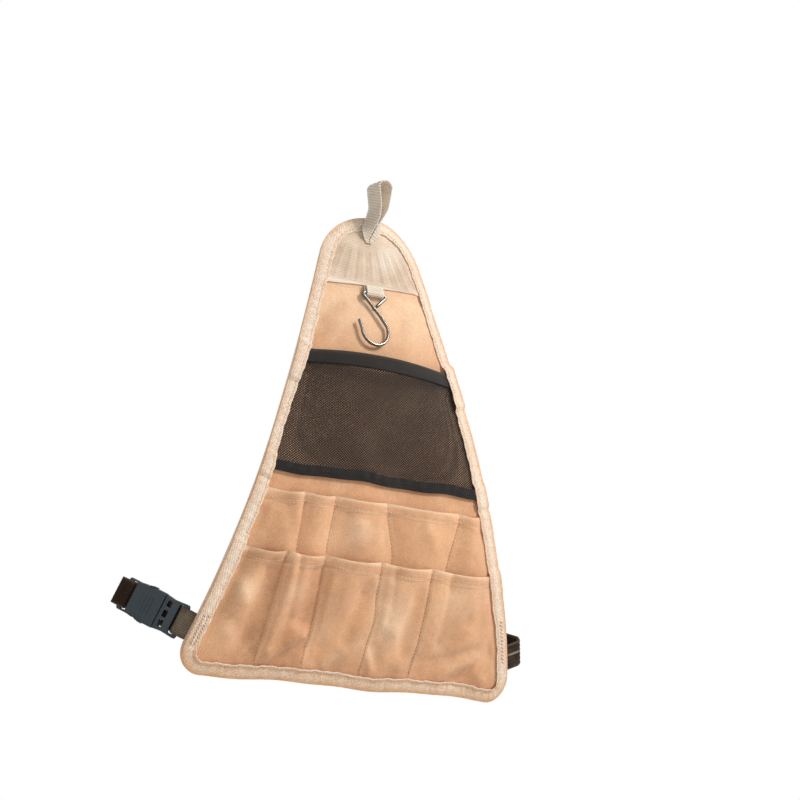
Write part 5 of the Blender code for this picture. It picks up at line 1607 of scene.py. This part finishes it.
def make_pocket_stitching():
    hems = []
    seams = []
    for row, foot in ((UPPER, LOWER_MOUTH + 6 * MM), (LOWER, BAG_HEIGHT - BINDING_WIDTH)):
        u = line_across(row.mouth + HEM_LINE, SEAM_INSET, 400)
        v = np.full_like(u, row.mouth + HEM_LINE)
        v = v + mouth_dip(row, u, v)
        hems.append(sew(u, v, pocket_front(row, u, v)))
        for divider in row.dividers:
            v = np.linspace(row.mouth + 1.5 * MM, foot, 200)
            u = divider_u(row, divider, v)
            seams.append(sew(u, v, pocket_front(row, u, v, 0.1 * MM), pitch=3.6 * MM, share=0.66))
            v = np.linspace(row.mouth + 0.8 * MM, row.mouth + 3.4 * MM, 12)
            u = divider_u(row, divider, v)
            hems.append(zigzag(u, v, pocket_front(row, u, v, 0.1 * MM), 2.4 * MM, 0.7 * MM))
    stitches("pocket_stitching", hems, CREAM_THREAD, 0.3 * MM)
    stitches("divider_stitching", seams, BROWN_THREAD, 0.32 * MM)


BINDING_TACKS = ((-1, 4.4, 12.5, 12.5, 2.4, 2.9), (-1, 8.0, 12.5, 12.5, 2.4, 2.9), (1, 6.4, 36, 4, 3.6, 3.6))


def make_binding_stitching():
    u, v, inward_u, inward_v, _, turns = outline(2 * MM)
    wide = binding_reach(u, v, turns)
    reach = wide - SEAM_FROM_EDGE
    front = GAP + stack(v) + TAPE_THICKNESS + binding_front(v, reach, wide, turns)
    runs = []
    for height, flip in ((front, False), (BACK_OF_BINDING + 0.2 * MM, True)):
        runs.append(sew(u + inward_u * reach, v + inward_v * reach, height, pitch=3.4 * MM, flip=flip))
    # A painted shadow line: brown stitches, close to a solid line, along the gap at the right binding's inner
    # edge beside the lower pocket.
    right = (u > 0) & (v > LOWER_MOUTH + HEM_DEPTH) & (v < CORNER_V)
    beside = (wide + 1.2 * MM)[right]
    u = u[right] + inward_u[right] * beside
    v = v[right] + inward_v[right] * beside
    tacks_and_shadow_line = [sew(u, v, pocket_front(LOWER, u, v, 0.15 * MM), pitch=3.6 * MM, share=0.9)]
    for side, reach, above, below, across, gap in BINDING_TACKS:
        v = np.linspace(STRAP_DOWN - above * MM, STRAP_DOWN + below * MM, 50)
        u = side * (side_line(v) - reach * MM / math.cos(SIDE_ANGLE))
        tacks_and_shadow_line.append(zigzag(u, v, GAP + stack(v) + TAPE_THICKNESS + 0.45 * MM, across * MM, gap * MM))
    stitches("binding_stitching", runs, CREAM_THREAD, 0.28 * MM)
    stitches("binding_tacks_and_shadow_line", tacks_and_shadow_line, BROWN_THREAD, 0.34 * MM)


def make_patch_stitching():
    u = line_across(PATCH_DEPTH, BINDING_WIDTH, 120)
    runs = [sew(u, PATCH_SEAM, PATCH_TOP + 0.35 * MM, pitch=2.8 * MM)]
    u = np.linspace(-3.0, 3.0, 16) * MM - LOOP_FOOT_ASIDE
    runs.append(zigzag(u, 24.6 * MM, PATCH_TOP + GAP + LOOP_THICKNESS + 0.1 * MM, 1.4 * MM, 1.0 * MM))
    stitches("patch_stitching", runs, CREAM_THREAD, 0.26 * MM)


def make_net_stitching():
    runs = []
    for down in (NET_TOP + NET_TOP_BAND - 1.9 * MM, NET_TOP + 2.6 * MM):
        u = line_across(down, SEAM_INSET)
        v = down + net_top_wave(u)
        height = net_back(u, v) + NET_THICKNESS + GAP + TAPE_THICKNESS + 0.05 * MM
        runs.append(sew(u, v, height, pitch=2.8 * MM))
    u = line_across(NET_FOOT, SEAM_INSET)
    v = NET_SEAM + net_foot_wave(u)
    runs.append(sew(u, v, net_back(u, v) + NET_THICKNESS + LAYER_PLAY + TAPE_THICKNESS + 0.25 * MM))
    stitches("net_stitching", runs, BLACK_THREAD, 0.25 * MM)


def make_back_stitching():
    """The seams that go through show on the back panel."""
    runs = []
    v = np.linspace(UPPER_MOUTH + 2 * MM, BAG_HEIGHT - BINDING_WIDTH - MM, 200)
    for divider in LOWER.dividers:
        runs.append(sew(divider_u(LOWER, divider, v), v, -PANEL_THICKNESS, flip=True))
    for down in (NET_SEAM, PATCH_SEAM):
        runs.append(sew(line_across(down, BINDING_WIDTH), down, -PANEL_THICKNESS, flip=True))
    stitches("back_stitching", runs, CREAM_THREAD, 0.27 * MM)


BOX_CORNERS = np.array([(-13, 10), (-30, 10), (-30, -10), (-13, -10)]) * MM
BOX_LINES = ((0, 1), (1, 2), (2, 3), (3, 0), (0, 2), (1, 3))


def make_strap_stitching():
    """A crossed box holds each strap to the back of the bag."""
    runs = []
    share = np.linspace(0, 1, 40)[:, None]
    for side in (-1, 1):
        for start, end in BOX_LINES:
            reach, rise = (BOX_CORNERS[start] + (BOX_CORNERS[end] - BOX_CORNERS[start]) * share).T
            u = side_line(STRAP_DOWN) + reach * math.cos(SIDE_ANGLE) - rise * math.sin(SIDE_ANGLE)
            v = STRAP_DOWN - reach * math.sin(SIDE_ANGLE) - rise * math.cos(SIDE_ANGLE)
            runs.append(sew(u * side, v, -LAYER_THREE - WEBBING_THICKNESS / 2, pitch=2.6 * MM, flip=True))
    stitches("strap_stitching", runs, BLACK_THREAD, 0.3 * MM)


TAIL_RADIUS = 0.16 * MM


def make_thread_tails():
    """Short loose ends above each divider's tack."""
    rng = np.random.default_rng(5)
    tails = []
    t = np.array([0, 0.3, 0.65, 1.0])
    places = [(row, divider) for row in (UPPER, LOWER) for divider in row.dividers for _ in range(2)]
    for row, divider in places:
        u = float(divider_u(row, divider, row.mouth)) + rng.uniform(-0.8, 0.8) * MM
        lean = rng.uniform(-1.6, 1.6)
        length = rng.uniform(3.0, 6.5)
        front = float(pocket_front(row, u, row.mouth + MM))
        path = worn(u + lean * t * t * MM, row.mouth + (1.2 - length * t) * MM,
                    front + (0.2 + 0.9 * np.sin(2.5 * t)) * MM)
        centre, _ = spline(path, 14)
        along = unit(np.gradient(centre, axis=0))
        side = unit(np.cross(along, (0.0, 1.0, 0.2)))
        tail = tube(centre, side, np.cross(side, along), THREAD_SIDES, TAIL_RADIUS, TAIL_RADIUS)
        tails.append((tail, tail))
    item = joined_tubes("thread_tails", tails, CREAM_THREAD)


# Buckles, floor and surround

def dress_buckles():
    """The buckles keep their solids, with edges softened and a moulded finish."""
    for name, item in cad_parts.items():
        if "buckle" in name or "latch_arm" in name:
            item.data.materials.clear()
            item.data.materials.append(PLASTIC)
            soften = item.modifiers.new("soft edges", "BEVEL")
            soften.width = 0.25 * MM
            soften.segments = 2
            soften.limit_method = "ANGLE"
            soften.harden_normals = True


def make_floor():
    mesh = bpy.data.meshes.new("floor")
    mesh.from_pydata([(x, y, FLOOR_Z) for x, y in ((-6, -6), (6, -6), (6, 6), (-6, 6))], [], [(0, 1, 2, 3)])
    item = bpy.data.objects.new("floor", mesh)
    bpy.context.scene.collection.objects.link(item)
    made, tree, shader = new_material("pale floor")
    tone = noise(own_place(tree), 3.0, 3.0).spread(0.3, 0.7)
    colour = mix_colour(tree, tone, (0.84, 0.84, 0.83, 1), (0.87, 0.87, 0.86, 1))
    fill(shader, {"Base Color": colour, "Roughness": 0.7})
    mesh.materials.append(made)


def make_world():
    """Soft white surround: full white to the camera and in reflections, dimmer as light."""
    world = bpy.data.worlds.new("surround")
    world.use_nodes = True
    tree = world.node_tree
    tree.nodes.clear()
    camera, glossy, through = [put(tree, "ShaderNodeLightPath", {}, output="Is %s Ray" % kind)
                               for kind in ("Camera", "Glossy", "Transmission")]
    seen = maths(tree, "MAXIMUM", camera, maths(tree, "MAXIMUM", glossy, through))
    dim, white = [put(tree, "ShaderNodeBackground", {"Color": (1, 1, 1, 1), "Strength": strength})
                  for strength in (0.33, 1.0)]
    both = put(tree, "ShaderNodeMixShader", {0: seen, 1: dim, 2: white})
    fill(tree.nodes.new("ShaderNodeOutputWorld"), {0: both})
    bpy.context.scene.world = world


def main():
    make_camera()
    make_hanging_loop()
    make_back_panel()
    make_edge_binding()
    make_top_patch()
    make_hook_tab()
    make_wire_hook()
    make_net()
    make_net_top_band()
    make_net_foot_band()
    make_pocket("upper_pocket_cloth", "upper_pocket", UPPER, 2.2 * MM)
    make_pocket("lower_pocket_cloth", "lower_pocket", LOWER, 1.8 * MM)
    for side in (LEFT, RIGHT):
        make_strap(side.label + "_anchor_strap", side.label + "_anchor_webbing", anchor_path(side), side, 150)
        make_strap(side.label + "_pole_strap_webbing", side.label + "_pole_strap", pole_path(side), side, 190)
    make_pocket_stitching()
    make_binding_stitching()
    make_patch_stitching()
    make_net_stitching()
    make_back_stitching()
    make_strap_stitching()
    make_thread_tails()
    dress_buckles()
    make_floor()
    make_world()
    make_lamp("key lamp", (1.65, -1.9, 1.9), 0.75, 90, (1.0, 0.985, 0.96))
    make_lamp("front lamp", (-1.6, -2.4, 0.1), 2.0, 8, (0.97, 0.985, 1.0))
    make_lamp("back lamp", (-0.6, 2.4, 0.9), 1.6, 26, (1.0, 1.0, 1.0))
    bpy.context.scene.view_settings.view_transform = "Standard"


main()
